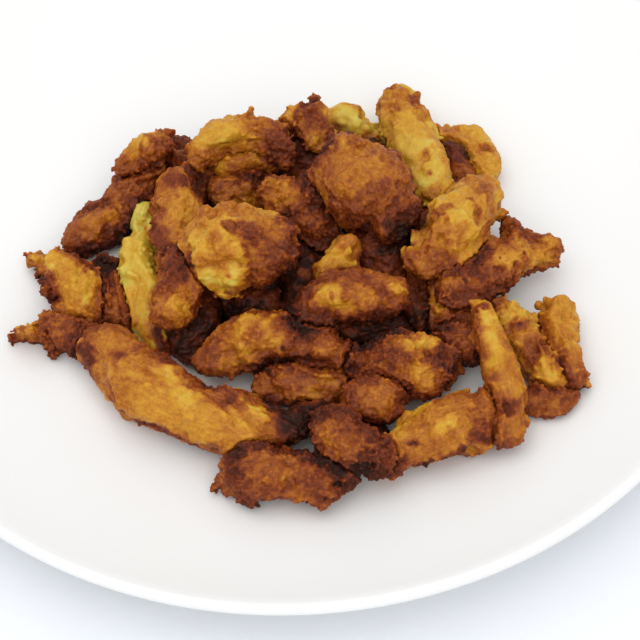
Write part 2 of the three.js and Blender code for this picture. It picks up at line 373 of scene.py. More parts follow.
def room_to_others(made: GeometryTree) -> bpy.types.NodeSocket:
    """Measure how far each point is from the other solids of the heap.

    Args:
        made: the tree, with the inputs Heap and Number.

    Returns:
        The socket of the distance.
    """
    g = made.graph
    heap = g.add("GeometryNodeObjectInfo", Object=made.given("Heap"))
    own = g.add(
        "FunctionNodeCompare",
        {"data_type": "INT", "operation": "EQUAL"},
        A=named(g, "number", "INT"),
        B=made.given("Number"),
    )
    others = g.add(
        "GeometryNodeDeleteGeometry",
        {"domain": "FACE"},
        Geometry=heap.outputs["Geometry"],
        Selection=own.outputs[0],
    )
    room = g.add("GeometryNodeProximity", {"target_element": "FACES"}, Geometry=others.outputs[0])
    return room.outputs["Distance"]


def make_shreds_tree() -> GeometryTree:
    """Make the tree that grows torn flakes where the attribute fray is high.

    Returns:
        The tree, ready to put on a piece.
    """
    made = GeometryTree(
        "shreds",
        Shreds_Per_Area="Float",
        Seam_Crumbs="Float",
        Seam_Reach="Float",
        Shred_Width="Float",
        Shred_Thickness="Float",
        Shred_Length="Float",
        Seed="Int",
        Heap="Object",
        Number="Int",
        Material="Material",
    )
    g = made.graph
    smallest, largest = 0.5, 1.2
    base = made.given("Geometry")
    torn = g.math("POWER", named(g, "fray"), 2.0)
    seam = g.math("SUBTRACT", 1.0, g.math("DIVIDE", room_to_others(made), made.given("Seam_Reach")))
    crumbs = g.math("MULTIPLY", g.math("MAXIMUM", seam, 0.0), made.given("Seam_Crumbs"))
    density = g.math("MULTIPLY", g.math("ADD", torn, crumbs), made.given("Shreds_Per_Area"))
    spots = g.add(
        "GeometryNodeDistributePointsOnFaces", Mesh=base, Density=density, Seed=made.given("Seed")
    )
    flake = g.add("GeometryNodeMeshIcoSphere", Radius=1.0, Subdivisions=1)
    tilt = g.add("FunctionNodeRandomValue", {"data_type": "FLOAT_VECTOR"})
    tilt.inputs[0].default_value = (-1.0, -1.0, -1.0)
    tilt.inputs[1].default_value = (1.0, 1.0, 1.0)
    lean = g.vector("ADD", spots.outputs["Normal"], tilt.outputs[0])
    turn = g.add("FunctionNodeAlignRotationToVector", {"axis": "Z"}, Vector=lean)
    share = g.add("FunctionNodeRandomValue", {"data_type": "FLOAT"}, i2=smallest, i3=largest)
    size = g.add(
        "ShaderNodeCombineXYZ",
        X=made.given("Shred_Width"),
        Y=made.given("Shred_Thickness"),
        Z=made.given("Shred_Length"),
    )
    size_here = g.scaled(size.outputs[0], share.outputs[1])
    grown = g.add(
        "GeometryNodeInstanceOnPoints",
        Points=spots.outputs["Points"],
        Instance=flake.outputs["Mesh"],
        Rotation=turn.outputs[0],
        Scale=size_here,
    )
    both = g.add("GeometryNodeJoinGeometry")
    g.tree.links.new(base, both.inputs[0])
    g.tree.links.new(grown.outputs[0], both.inputs[0])
    made.close(both.outputs[0])
    return made


def make_swell_tree() -> GeometryTree:
    """Make the tree that makes a piece uneven, closes small gaps and stops at its neighbours.

    Returns:
        The tree, ready to put on a piece.
    """
    made = GeometryTree(
        "swell",
        Swelling="Float",
        Lump_Spacing="Float",
        Lump_Height="Float",
        Torn_Spacing="Float",
        Torn_Height="Float",
        Closing="Float",
        Offset="Vector",
        Heap="Object",
        Number="Int",
        Material="Material",
    )
    g = made.graph
    knobs_to_a_lump, knob_share, usual_knob = 1.8, 0.6, 0.12
    calming_by_fray = -0.7
    share_of_room = 0.55
    fall_beyond, press = -3.0, 3.0
    place = g.add("GeometryNodeInputPosition").outputs[0]
    away = g.vector("ADD", place, made.given("Offset"))
    torn = g.noise(away, g.math("DIVIDE", 1.0, made.given("Torn_Spacing")), 3.0, 1.0)
    lump = g.noise(away, g.math("DIVIDE", 1.0, made.given("Lump_Spacing")), 2.0, 0.6)
    knob = g.puffs(away, g.math("DIVIDE", knobs_to_a_lump, made.given("Lump_Spacing")))
    knob_height = g.math("MULTIPLY", made.given("Lump_Height"), knob_share)
    height = g.total(
        (1.0, made.given("Swelling")),
        (lump, made.given("Lump_Height")),
        (g.math("SUBTRACT", knob, usual_knob), knob_height),
    )
    fray = named(g, "fray")
    calm = g.total((fray, calming_by_fray), (1.0, 1.0))
    free = g.total(
        (height, calm),
        (g.math("MULTIPLY", torn, fray), made.given("Torn_Height")),
        (1.0, named(g, "lift")),
    )
    room = room_to_others(made)
    half_way = g.math("MULTIPLY", room, share_of_room)
    beyond = g.math("MAXIMUM", g.math("SUBTRACT", room, made.given("Closing")), 0.0)
    pressed = g.math("MINIMUM", named(g, "lift"), 0.0)
    filling = g.total((beyond, fall_beyond), (half_way, 1.0), (pressed, press))
    held = g.math("MINIMUM", g.math("MAXIMUM", free, filling), half_way)
    normal = g.add("GeometryNodeInputNormal").outputs[0]
    moved = g.add(
        "GeometryNodeSetPosition", Geometry=made.given("Geometry"), Offset=g.scaled(normal, held)
    )
    made.close(moved.outputs[0])
    return made


def without_crumbs(graph: Graph, geometry: bpy.types.NodeSocket) -> bpy.types.NodeSocket:
    """Keep the largest body of a mesh, and drop crumbs that came loose from it.

    Args:
        graph: the tree to work in.
        geometry: the mesh.

    Returns:
        The socket of the mesh that is left.
    """
    body = graph.add("GeometryNodeInputMeshIsland").outputs["Island Index"]
    size = graph.add("GeometryNodeAccumulateField", Value=1.0, Group_ID=body).outputs["Total"]
    sizes = graph.add("GeometryNodeAttributeStatistic", Geometry=geometry, Attribute=size)
    loose = graph.math("LESS_THAN", size, sizes.outputs["Max"])
    return graph.add("GeometryNodeDeleteGeometry", Geometry=geometry, Selection=loose).outputs[0]


def make_crust_tree() -> GeometryTree:
    """Make the tree that gives a piece its blisters, fibres and ragged edges.

    It also stores how proud each point stands, and darkens the piece where it comes near another:
    painted shade in the seams.

    Returns:
        The tree, ready to put on a piece.
    """
    made = GeometryTree(
        "crust",
        Blister_Spacing="Float",
        Blister_Height="Float",
        Granule_Spacing="Float",
        Granule_Height="Float",
        Grit_Spacing="Float",
        Grit_Height="Float",
        Fibre_Height="Float",
        Fray_Height="Float",
        Ridge_Width="Int",
        Touch_Browning="Float",
        Touch_Reach="Float",
        Offset="Vector",
        Heap="Object",
        Number="Int",
        Material="Material",
    )
    g = made.graph
    stirring = 1.2 * MM
    usual_granule = 0.4
    rags_to_a_blister = 1.5
    roughness_by_fry, least_rough, grit_of_pale = 1.2, 0.15, 0.25
    most_ridge = 0.5
    place = g.add("GeometryNodeInputPosition").outputs[0]
    normal = g.add("GeometryNodeInputNormal").outputs[0]
    away = g.vector("ADD", place, made.given("Offset"))
    fray = named(g, "fray")
    fry = named(g, "fry")
    per_blister = g.math("DIVIDE", 1.0, made.given("Blister_Spacing"))
    blister = g.noise(away, per_blister, 1.5, 0.5)
    stir = g.add("ShaderNodeTexNoise", Vector=away, Scale=per_blister, Detail=1.0).outputs["Color"]
    stirred = g.vector("ADD", away, g.scaled(stir, stirring))
    cells = g.add(
        "ShaderNodeTexVoronoi",
        {"feature": "SMOOTH_F1"},
        Vector=stirred,
        Scale=g.math("DIVIDE", 1.0, made.given("Granule_Spacing")),
        Smoothness=0.5,
    )
    granule = g.math("SUBTRACT", usual_granule, cells.outputs["Distance"])
    ragged = g.noise(away, g.math("MULTIPLY", per_blister, rags_to_a_blister), 3.0, 0.8)
    grit = g.noise(away, g.math("DIVIDE", 1.0, made.given("Grit_Spacing")), 1.5)
    fibre = g.noise(named(g, "grain", "FLOAT_VECTOR"), 1.0, 2.0)
    rough = g.math("MAXIMUM", g.total((fry, roughness_by_fry), (1.0, -0.05)), least_rough)
    gritty = g.math("ADD", rough, grit_of_pale)
    height = g.total(
        (g.math("MULTIPLY", blister, rough), made.given("Blister_Height")),
        (g.math("MULTIPLY", granule, rough), made.given("Granule_Height")),
        (g.math("MULTIPLY", grit, gritty), made.given("Grit_Height")),
        (g.math("MULTIPLY", ragged, fray), made.given("Fray_Height")),
        (fibre, made.given("Fibre_Height")),
    )
    moved = g.add(
        "GeometryNodeSetPosition", Geometry=made.given("Geometry"), Offset=g.scaled(normal, height)
    )

    # Painted shade in the seams: the piece is darkened where it comes near another piece.
    touch_reach = g.math("MULTIPLY", made.given("Touch_Reach"), -1.0)
    nearness = g.math("DIVIDE", room_to_others(made), touch_reach)
    browned = g.add(
        "GeometryNodeStoreNamedAttribute",
        {"data_type": "FLOAT", "domain": "POINT"},
        Geometry=moved.outputs[0],
        Name="fry",
        Value=g.total((g.math("EXPONENT", nearness), made.given("Touch_Browning")), (fry, 1.0)),
    )
    blurred = g.add(
        "GeometryNodeBlurAttribute",
        {"data_type": "FLOAT_VECTOR"},
        Iterations=made.given("Ridge_Width"),
        Value=g.add("GeometryNodeInputPosition").outputs[0],
    )
    blurred_value = next(s for s in blurred.outputs if s.enabled)
    proud = g.vector("SUBTRACT", g.add("GeometryNodeInputPosition").outputs[0], blurred_value)
    ridge = g.vector("DOT_PRODUCT", proud, g.add("GeometryNodeInputNormal").outputs[0])
    ridge_in_mm = g.math("DIVIDE", ridge, MM)
    held_ridge = g.add("ShaderNodeClamp", i0=ridge_in_mm, i1=-most_ridge, i2=most_ridge)
    stored = g.add(
        "GeometryNodeStoreNamedAttribute",
        {"data_type": "FLOAT", "domain": "POINT"},
        Geometry=browned.outputs[0],
        Name="ridge",
        Value=held_ridge.outputs[0],
    )
    made.close(without_crumbs(g, stored.outputs[0]))
    return made


# ---- Finishes ----


def start_material(name: str) -> tuple[bpy.types.Material, Graph]:
    """Make an empty material.

    Args:
        name: the material's name.

    Returns:
        The material and its node tree.
    """
    material = bpy.data.materials.new(name)
    material.use_nodes = True
    material.node_tree.nodes.clear()
    return material, Graph(material.node_tree)


def end_material(graph: Graph, shader: bpy.types.Node) -> None:
    """Let a shader show on the surface."""
    graph.add("ShaderNodeOutputMaterial", Surface=shader.outputs[0])


@dataclass(frozen=True)
class CrustFinish:
    """The look of fried plantain, from raw flesh to burnt crust."""

    stops: tuple[tuple[float, int], ...] = (
        (0.00, 0xD0BE54),
        (0.14, 0xD0AA38),
        (0.25, 0xCC9826),
        (0.36, 0xC0821E),
        (0.47, 0xAE6816),
        (0.59, 0x944C16),
        (0.71, 0x763212),
        (0.84, 0x56220F),
        (1.00, 0x2C130A),
    )
    clouds: float = 0.28
    cloud_spacing: float = 6.0 * MM
    dapples: float = 0.27
    dapple_spacing: float = 2.2 * MM
    specks: float = 0.24
    speck_spacing: float = 0.7 * MM
    streaks: float = 0.24
    streaks_to_a_fibre: float = 1.6
    ridge_browning: float = -0.15
    roughness: float = 0.42
    roughness_spread: float = 0.22
    roughness_by_fry: float = 0.12
    shine_level: float = 0.3
    shine_loss: float = 0.18
    least_shine: float = 0.02
    sheen_of_oil: float = 0.04
    oil_roughness: float = 0.3
    flesh_glow: float = 0.4
    glow_depth: tuple[float, float, float] = (2.4 * MM, 1.0 * MM, 0.3 * MM)
    bump: float = 0.3
    bump_depth: float = 0.5 * MM

    def build(self) -> bpy.types.Material:
        """Make the material. It reads the attributes fry, ridge and grain.

        Returns:
            The finished material.
        """
        material, g = start_material("fried_plantain")
        here = g.add("ShaderNodeTexCoord").outputs["Object"]
        # The fry attribute also carries painted shade: the sides turned from the light and the
        # seams between pieces are darkened in it.
        fry = g.add("ShaderNodeAttribute", {"attribute_name": "fry"}).outputs["Fac"]
        ridge = g.add("ShaderNodeAttribute", {"attribute_name": "ridge"}).outputs["Fac"]
        grain = g.add("ShaderNodeAttribute", {"attribute_name": "grain"}).outputs["Vector"]
        clouds = g.noise(here, 1 / self.cloud_spacing, 3.0, 0.8)
        dapples = g.noise(here, 1 / self.dapple_spacing, 4.0, 0.5)
        specks = g.noise(here, 1 / self.speck_spacing, 3.0)
        streaks = g.noise(grain, self.streaks_to_a_fibre, 3.0)
        # Hollows, where ridge is below zero, are fried darker and ridges lighter: partly real
        # browning of the crust in its creases, partly painted shade.
        level = g.total(
            (fry, 1.0),
            (clouds, self.clouds),
            (dapples, self.dapples),
            (specks, self.specks),
            (streaks, self.streaks),
            (ridge, self.ridge_browning),
        )
        ramp = g.add("ShaderNodeValToRGB", Fac=level)
        elements = ramp.color_ramp.elements
        while len(elements) < len(self.stops):
            elements.new(0.5)
        for element, (position, colour) in zip(elements, self.stops):
            element.position = position
            element.color = linear(colour)
        rough = g.total(
            (dapples, self.roughness_spread), (fry, self.roughness_by_fry), (1.0, self.roughness)
        )
        gloss = g.total((fry, -self.shine_loss), (1.0, self.shine_level))
        dents = g.total((specks, 0.5), (dapples, 0.8), (streaks, 0.5))
        bump = g.add("ShaderNodeBump", Height=dents, Distance=self.bump_depth, Strength=self.bump)
        shader = g.add(
            "ShaderNodeBsdfPrincipled",
            Base_Color=ramp.outputs["Color"],
            Roughness=rough,
            Normal=bump.outputs[0],
            Specular_IOR_Level=g.math("MAXIMUM", gloss, self.least_shine),
            Subsurface_Weight=self.flesh_glow,
            Subsurface_Radius=self.glow_depth,
            Subsurface_Scale=1.0,
            Coat_Weight=self.sheen_of_oil,
            Coat_Roughness=self.oil_roughness,
        )
        end_material(g, shader)
        return material


@dataclass(frozen=True)
class GlazeFinish:
    """White glazed stoneware, with the faint unevenness of a fired glaze.

    Under the heap it is painted dark brown: painted shade that shows through the gaps between the
    pieces.
    """

    colour: int = 0xF4F4F2
    fleck_colour: int = 0xF3F3F0
    fleck_spacing: float = 0.8 * MM
    ripple_spacing: float = 14 * MM
    ripple_depth: float = 1 * MM
    bump: float = 0.03
    roughness: float = 0.3
    roughness_by_ripple: float = 0.05
    shine_level: float = 0.3
    under_heap_shade_colour: int = 0x2A160C
    oil_centre: tuple[float, float, float] = (-5 * MM, -3 * MM, 0.0)
    under_heap_shade_reach: tuple[float, float] = (36 * MM, 32 * MM)
    under_heap_shade_fade: float = 0.2

    def build(self) -> bpy.types.Material:
        """Make the material.

        Returns:
            The finished material.
        """
        material, g = start_material("white_glaze")
        here = g.add("ShaderNodeTexCoord").outputs["Object"]
        ripple = g.noise(here, 1 / self.ripple_spacing, 1.0)
        fleck = g.noise(here, 1 / self.fleck_spacing, 2.0)
        tint = g.add(
            "ShaderNodeMix",
            {"data_type": "RGBA"},
            Factor=g.math("ADD", fleck, 0.5),
            A=linear(self.colour),
            B=linear(self.fleck_colour),
        )
        # Painted shade: an oval under the heap turns the glaze dark brown, so the plate seen
        # through the gaps of the heap looks shaded.
        away = g.vector("SUBTRACT", here, self.oil_centre)
        wide, deep = self.under_heap_shade_reach
        spread = g.vector("LENGTH", g.vector("MULTIPLY", away, (1 / wide, 1 / deep, 0.0)))
        inside = g.math("DIVIDE", g.math("SUBTRACT", 1.0 + self.under_heap_shade_fade, spread), self.under_heap_shade_fade)
        under_heap_share = g.add("ShaderNodeClamp", Value=inside).outputs[0]
        shaded_glaze = g.add(
            "ShaderNodeMix",
            {"data_type": "RGBA"},
            Factor=under_heap_share,
            A=tint.outputs["Result"],
            B=linear(self.under_heap_shade_colour),
        )
        bump = g.add(
            "ShaderNodeBump", Height=ripple, Distance=self.ripple_depth, Strength=self.bump
        )
        shader = g.add(
            "ShaderNodeBsdfPrincipled",
            Base_Color=shaded_glaze.outputs["Result"],
            Specular_IOR_Level=self.shine_level,
            Roughness=g.total((ripple, self.roughness_by_ripple), (1.0, self.roughness)),
            Normal=bump.outputs[0],
        )
        end_material(g, shader)
        return material


# ---- Plantain ----


class Tone(Enum):
    """How far a place on the plantain is fried."""

    RAW = 0.04
    PALE = 0.14
    YELLOW = 0.24
    GOLD = 0.34
    AMBER = 0.46
    BROWN = 0.58
    RUST = 0.69
    DARK = 0.80
    BURNT = 0.95


RAW, PALE, YELLOW, GOLD, AMBER, BROWN, RUST, DARK, BURNT = Tone


@dataclass
class Skin:
    """What is worked out for each vertex of a piece."""

    places: np.ndarray
    waver: np.ndarray
    fry: np.ndarray
    fray: np.ndarray
    lift: np.ndarray

    def nearness(self, line: list[Vector], reach: float) -> np.ndarray:
        """Measure how near each vertex is to a line.

        Args:
            line: the points of the line.
            reach: how far from the line it counts, in mm.

        Returns:
            1 on the line, falling to 0 at the reach and below 0 beyond it.
        """
        return 1 - distance_to_line(self.places, line) * self.waver / (reach * MM)


@dataclass(frozen=True)
class Mark(ABC):
    """Something special about a part of a piece, as a spot or a line across it."""

    reach: float
    path: tuple[tuple[int, int], ...]

    @abstractmethod
    def lay(self, skin: Skin, line: list[Vector]) -> None:
        """Put the mark on the skin, along its line."""


@dataclass(frozen=True)
class Dab(Mark):
    """A place that is fried more or less than its piece."""

    tone: Tone = Tone.AMBER
    spread: float = 1.6
    fullness: float = 1.15

    def lay(self, skin: Skin, line: list[Vector]) -> None:
        """Bring the browning to the dab's tone."""
        # Dark dabs in seams, in gaps and along lower edges are painted shade.
        share = smooth_step(self.fullness * skin.nearness(line, self.spread * self.reach))
        skin.fry += share * (self.tone.value - skin.fry)


@dataclass(frozen=True)
class Fringe(Mark):
    """A place where the edge is torn to shreds."""

    amount: float = 1.0
    fullness: float = 1.6

    def lay(self, skin: Skin, line: list[Vector]) -> None:
        """Raise the fraying to the fringe's amount."""
        share = smooth_step(self.fullness * skin.nearness(line, self.reach))
        skin.fray = np.maximum(skin.fray, self.amount * share)


@dataclass(frozen=True)
class Mound(Mark):
    """A place that stands out from its piece, or is pressed in."""

    height: float = 1.0

    def lay(self, skin: Skin, line: list[Vector]) -> None:
        """Add the mound's height, in mm."""
        skin.lift += self.height * MM * smooth_step(skin.nearness(line, self.reach))


def dab(tone: Tone, reach: float, *path: tuple[int, int]) -> Dab:
    """Write a dab shortly: its tone, its reach in mm, and the pixels it runs through."""
    return Dab(reach, path, tone)


def fringe(reach: float, *path: tuple[int, int], amount: float = 1.0) -> Fringe:
    """Write a fringe shortly: its reach in mm, and the pixels it runs through."""
    return Fringe(reach, path, amount)


def mound(height: float, reach: float, *path: tuple[int, int]) -> Mound:
    """Write a mound shortly: its height and reach in mm, and the pixels it runs through."""
    return Mound(reach, path, height)


@dataclass
class Piece:
    """One piece of plantain: the solid it stands for, and how it is fried.

    The last field sets how strongly its sides and seams are darkened: sides turned away from the
    light above and behind get painted shade along with real browning, and seams get painted shade.
    The smoothing is how many times its solid is relaxed. A piece that isn't shown fills the gaps of
    the heap.
    """

    node: str
    tone: Tone
    marks: tuple[Mark, ...] = ()
    unevenness: float = 1.0
    shown: bool = True
    smoothing: int = 12
    frayed: float = 0.15
    side_and_seam_shade: float = 1.0


@dataclass
class Fryer:
    """Turns the plain solids of plantain in the frame into fried pieces."""

    view: Viewpoint
    swell: GeometryTree
    shreds: GeometryTree
    crust: GeometryTree
    material: bpy.types.Material
    first_voxel: float = 0.6 * MM
    last_voxel: float = 0.36 * MM
    hidden_voxel: float = 0.5 * MM
    swelling: float = 0.15 * MM
    hidden_swelling: float = 1.5 * MM
    closing: float = 2.8 * MM
    hidden_closing: float = 6.0 * MM
    shreds_per_area: float = 0.3e6
    seam_crumbs: float = 0.8
    seam_reach: float = 3.5 * MM
    shred_width: float = 0.9 * MM
    shred_thickness: float = 0.7 * MM
    shred_length: float = 1.2 * MM
    lump_spacing: float = 8 * MM
    lump_height: float = 4.5 * MM
    torn_spacing: float = 3.4 * MM
    torn_height: float = 2.5 * MM
    blister_spacing: float = 3.2 * MM
    blister_height: float = 0.6 * MM
    granule_spacing: float = 1.3 * MM
    granule_height: float = 1.15 * MM
    grit_spacing: float = 1.15 * MM
    grit_height: float = 0.8 * MM
    fray_height: float = 2.6 * MM
    fibre_height: float = 0.25 * MM
    fibre_length: float = 9 * MM
    fibre_width: float = 1.1 * MM
    ridge_width: int = 10
    waver: float = 0.35
    waver_spacing: float = 4 * MM
    waver_limits: tuple[float, float] = (-1.2, 1.6)
    tone_spread: float = 0.07
    tone_spacing: float = 16 * MM
    fray_spacing: float = 7 * MM
    end_fraying: float = 1.5
    end_share: float = 0.7
    fray_browning: float = 0.12
    # Painted shade: sides that turn away from the light above and behind are darkened, together
    # with real browning of the thin sides.
    side_browning_and_shade: float = 0.13
    lit_way: tuple[float, float, float] = (0.0, 0.15, 0.97)
    lit_facing: float = 0.75
    side_shade_fade: float = 0.9
    pattern_step: tuple[float, float, float] = (0.37, 0.11, 0.0)
    # Painted shade in the seams between pieces.
    touch_browning: float = 0.2
    touch_reach: float = 3.2 * MM
    heap: bpy.types.Object | None = None

    def gather(self) -> None:
        """Join all the solids in one hidden object, numbered, for pieces to keep clear of."""
        work = bmesh.new()
        number = work.faces.layers.int.new("number")
        for index, plan in enumerate((*HEAP, None), start=1):
            first = len(work.faces)
            work.from_mesh(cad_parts[plan.node if plan else "plate"].data)
            work.faces.ensure_lookup_table()
            for face in work.faces[first:]:
                face[number] = index
        mesh = bpy.data.meshes.new("whole_heap")
        work.to_mesh(mesh)
        work.free()
        self.heap = bpy.data.objects.new("whole_heap", mesh)

    def solid_of(self, node: str) -> bpy.types.Mesh:
        """Copy a CAD node's mesh as one closed mesh.

        Args:
            node: the node's name.

        Returns:
            The copy, bare of materials.
        """
        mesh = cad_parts[node].data.copy()
        work = bmesh.new()
        work.from_mesh(mesh)
        bmesh.ops.remove_doubles(work, verts=work.verts, dist=1e-6)
        work.to_mesh(mesh)
        work.free()
        mesh.materials.clear()
        return mesh

    def freeze(self, piece: bpy.types.Object) -> None:
        """Turn what the modifiers make into the piece's own mesh, and remove them.

        Args:
            piece: the object.
        """
        graph = bpy.context.evaluated_depsgraph_get()
        made = bpy.data.meshes.new_from_object(piece.evaluated_get(graph))
        old = piece.data
        piece.modifiers.clear()
        piece.data = made
        bpy.data.meshes.remove(old)

    def remesh(self, piece: bpy.types.Object, voxel: float, passes: int) -> None:
        """Add an even fine skin, as modifiers.

        Args:
            piece: the object.
            voxel: the width of the skin's faces.
            passes: how many times it is relaxed.
        """
        skin = piece.modifiers.new("skin", "REMESH")
        skin.mode, skin.voxel_size = "VOXEL", voxel
        relax = piece.modifiers.new("relax", "SMOOTH")
        relax.factor, relax.iterations = 0.5, passes

    def touch(self, tree: BVHTree, centre: Vector, x: float, y: float) -> Vector:
        """Find the place of a solid that shows at a pixel, or the nearest to it.

        Args:
            tree: the solid's faces.
            centre: the solid's middle.
            x: pixels from the frame's left edge.
            y: pixels down from its top edge.

        Returns:
            The place on the solid.
        """
        eye, way = self.view.place(), self.view.ray(x, y)
        hit = tree.ray_cast(eye, way)[0]
        if hit is None:
            beside = eye + way * (centre - eye).dot(way)
            hit = tree.find_nearest(beside)[0]
        return hit

    def mark(self, piece: bpy.types.Object, plan: Piece, seed: int) -> None:
        """Store on each vertex how far it is fried, how frayed it is and how the fibres run.

        Args:
            piece: the object.
            plan: its marks.
            seed: picks its unevenness.
        """
        mesh = piece.data
        count = len(mesh.vertices)
        places = np.empty(count * 3)
        mesh.vertices.foreach_get("co", places)
        places = places.reshape(-1, 3)
        low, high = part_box(plan.node)
        centre = (Vector(low) + Vector(high)) / 2
        solid = self.solid_of(plan.node)
        corners, faces = [v.co for v in solid.vertices], [p.vertices for p in solid.polygons]
        tree = BVHTree.FromPolygons(corners, faces)
        bpy.data.meshes.remove(solid)
        normals = np.empty(count * 3)
        mesh.vertices.foreach_get("normal", normals)
        facing = normals.reshape(-1, 3) @ np.array(self.lit_way)
        middle = places.mean(axis=0)
        axes = np.linalg.svd(places[::5] - middle, full_matrices=False)[2]
        local = (places - middle) @ axes.T
        ends = np.abs(local[:, 0]) / np.abs(local[:, 0]).max()

        waver = np.clip(wobble(places, self.waver_spacing, seed), *self.waver_limits)
        tones = wobble(places, self.tone_spacing, seed + TONE_SEED)
        frays = 0.5 + wobble(places, self.fray_spacing, seed + FRAY_SEED)
        frays += self.end_fraying * (ends - self.end_share)
        skin = Skin(
            places=places,
            waver=1 + self.waver * waver,
            fry=plan.tone.value + self.tone_spread * tones,
            fray=plan.frayed * smooth_step(frays),
            lift=np.zeros(count),
        )
        # Painted shade on the sides that turn away from the light above and behind, together with
        # real browning of the sides.
        sides = smooth_step((self.lit_facing - facing) / self.side_shade_fade)
        skin.fry += self.side_browning_and_shade * plan.side_and_seam_shade * sides
        for mark in plan.marks:
            mark.lay(skin, [self.touch(tree, centre, *pixel) for pixel in mark.path])
        skin.fry += self.fray_browning * skin.fray
        grain = local / np.array([self.fibre_length, self.fibre_width, self.fibre_width])
        for name, kind, values in (
            ("fry", "FLOAT", skin.fry),
            ("fray", "FLOAT", skin.fray),
            ("lift", "FLOAT", skin.lift),
            ("grain", "FLOAT_VECTOR", grain),
        ):
            if name in mesh.attributes:
                mesh.attributes.remove(mesh.attributes[name])
            store = mesh.attributes.new(name, kind, "POINT")
            store.data.foreach_set("value" if kind == "FLOAT" else "vector", values.ravel())

    def fry(self, plan: Piece, seed: int) -> bpy.types.Object:
        """Make one piece of plantain.

        Args:
            plan: which piece, and how it is fried.
            seed: picks its shreds and lumps.

        Returns:
            The finished object, with its place in its mesh.
        """
        name = plan.node.replace("plantain", "fried")
        piece = stand(name, self.solid_of(plan.node))
        offset = Vector([seed * step for step in self.pattern_step])
        self.remesh(piece, self.first_voxel, plan.smoothing)
        self.freeze(piece)
        self.mark(piece, plan, seed)
        self.swell.put_on(
            piece,
            self,
            Swelling=self.swelling if plan.shown else self.hidden_swelling,
            Lump_Height=self.lump_height * plan.unevenness,
            Closing=self.closing if plan.shown else self.hidden_closing,
            Offset=offset,
            Number=seed,
        )
        self.shreds.put_on(piece, self, Seed=seed, Number=seed)
        self.remesh(piece, self.last_voxel if plan.shown else self.hidden_voxel, 2)
        self.freeze(piece)
        self.mark(piece, plan, seed)
        self.crust.put_on(
            piece,
            self,
            Blister_Height=self.blister_height * plan.unevenness,
            Granule_Height=self.granule_height * plan.unevenness,
            Touch_Browning=self.touch_browning * plan.side_and_seam_shade,
            Offset=offset,
            Number=seed,
        )
        self.freeze(piece)
        piece.data.shade_smooth()
        return piece
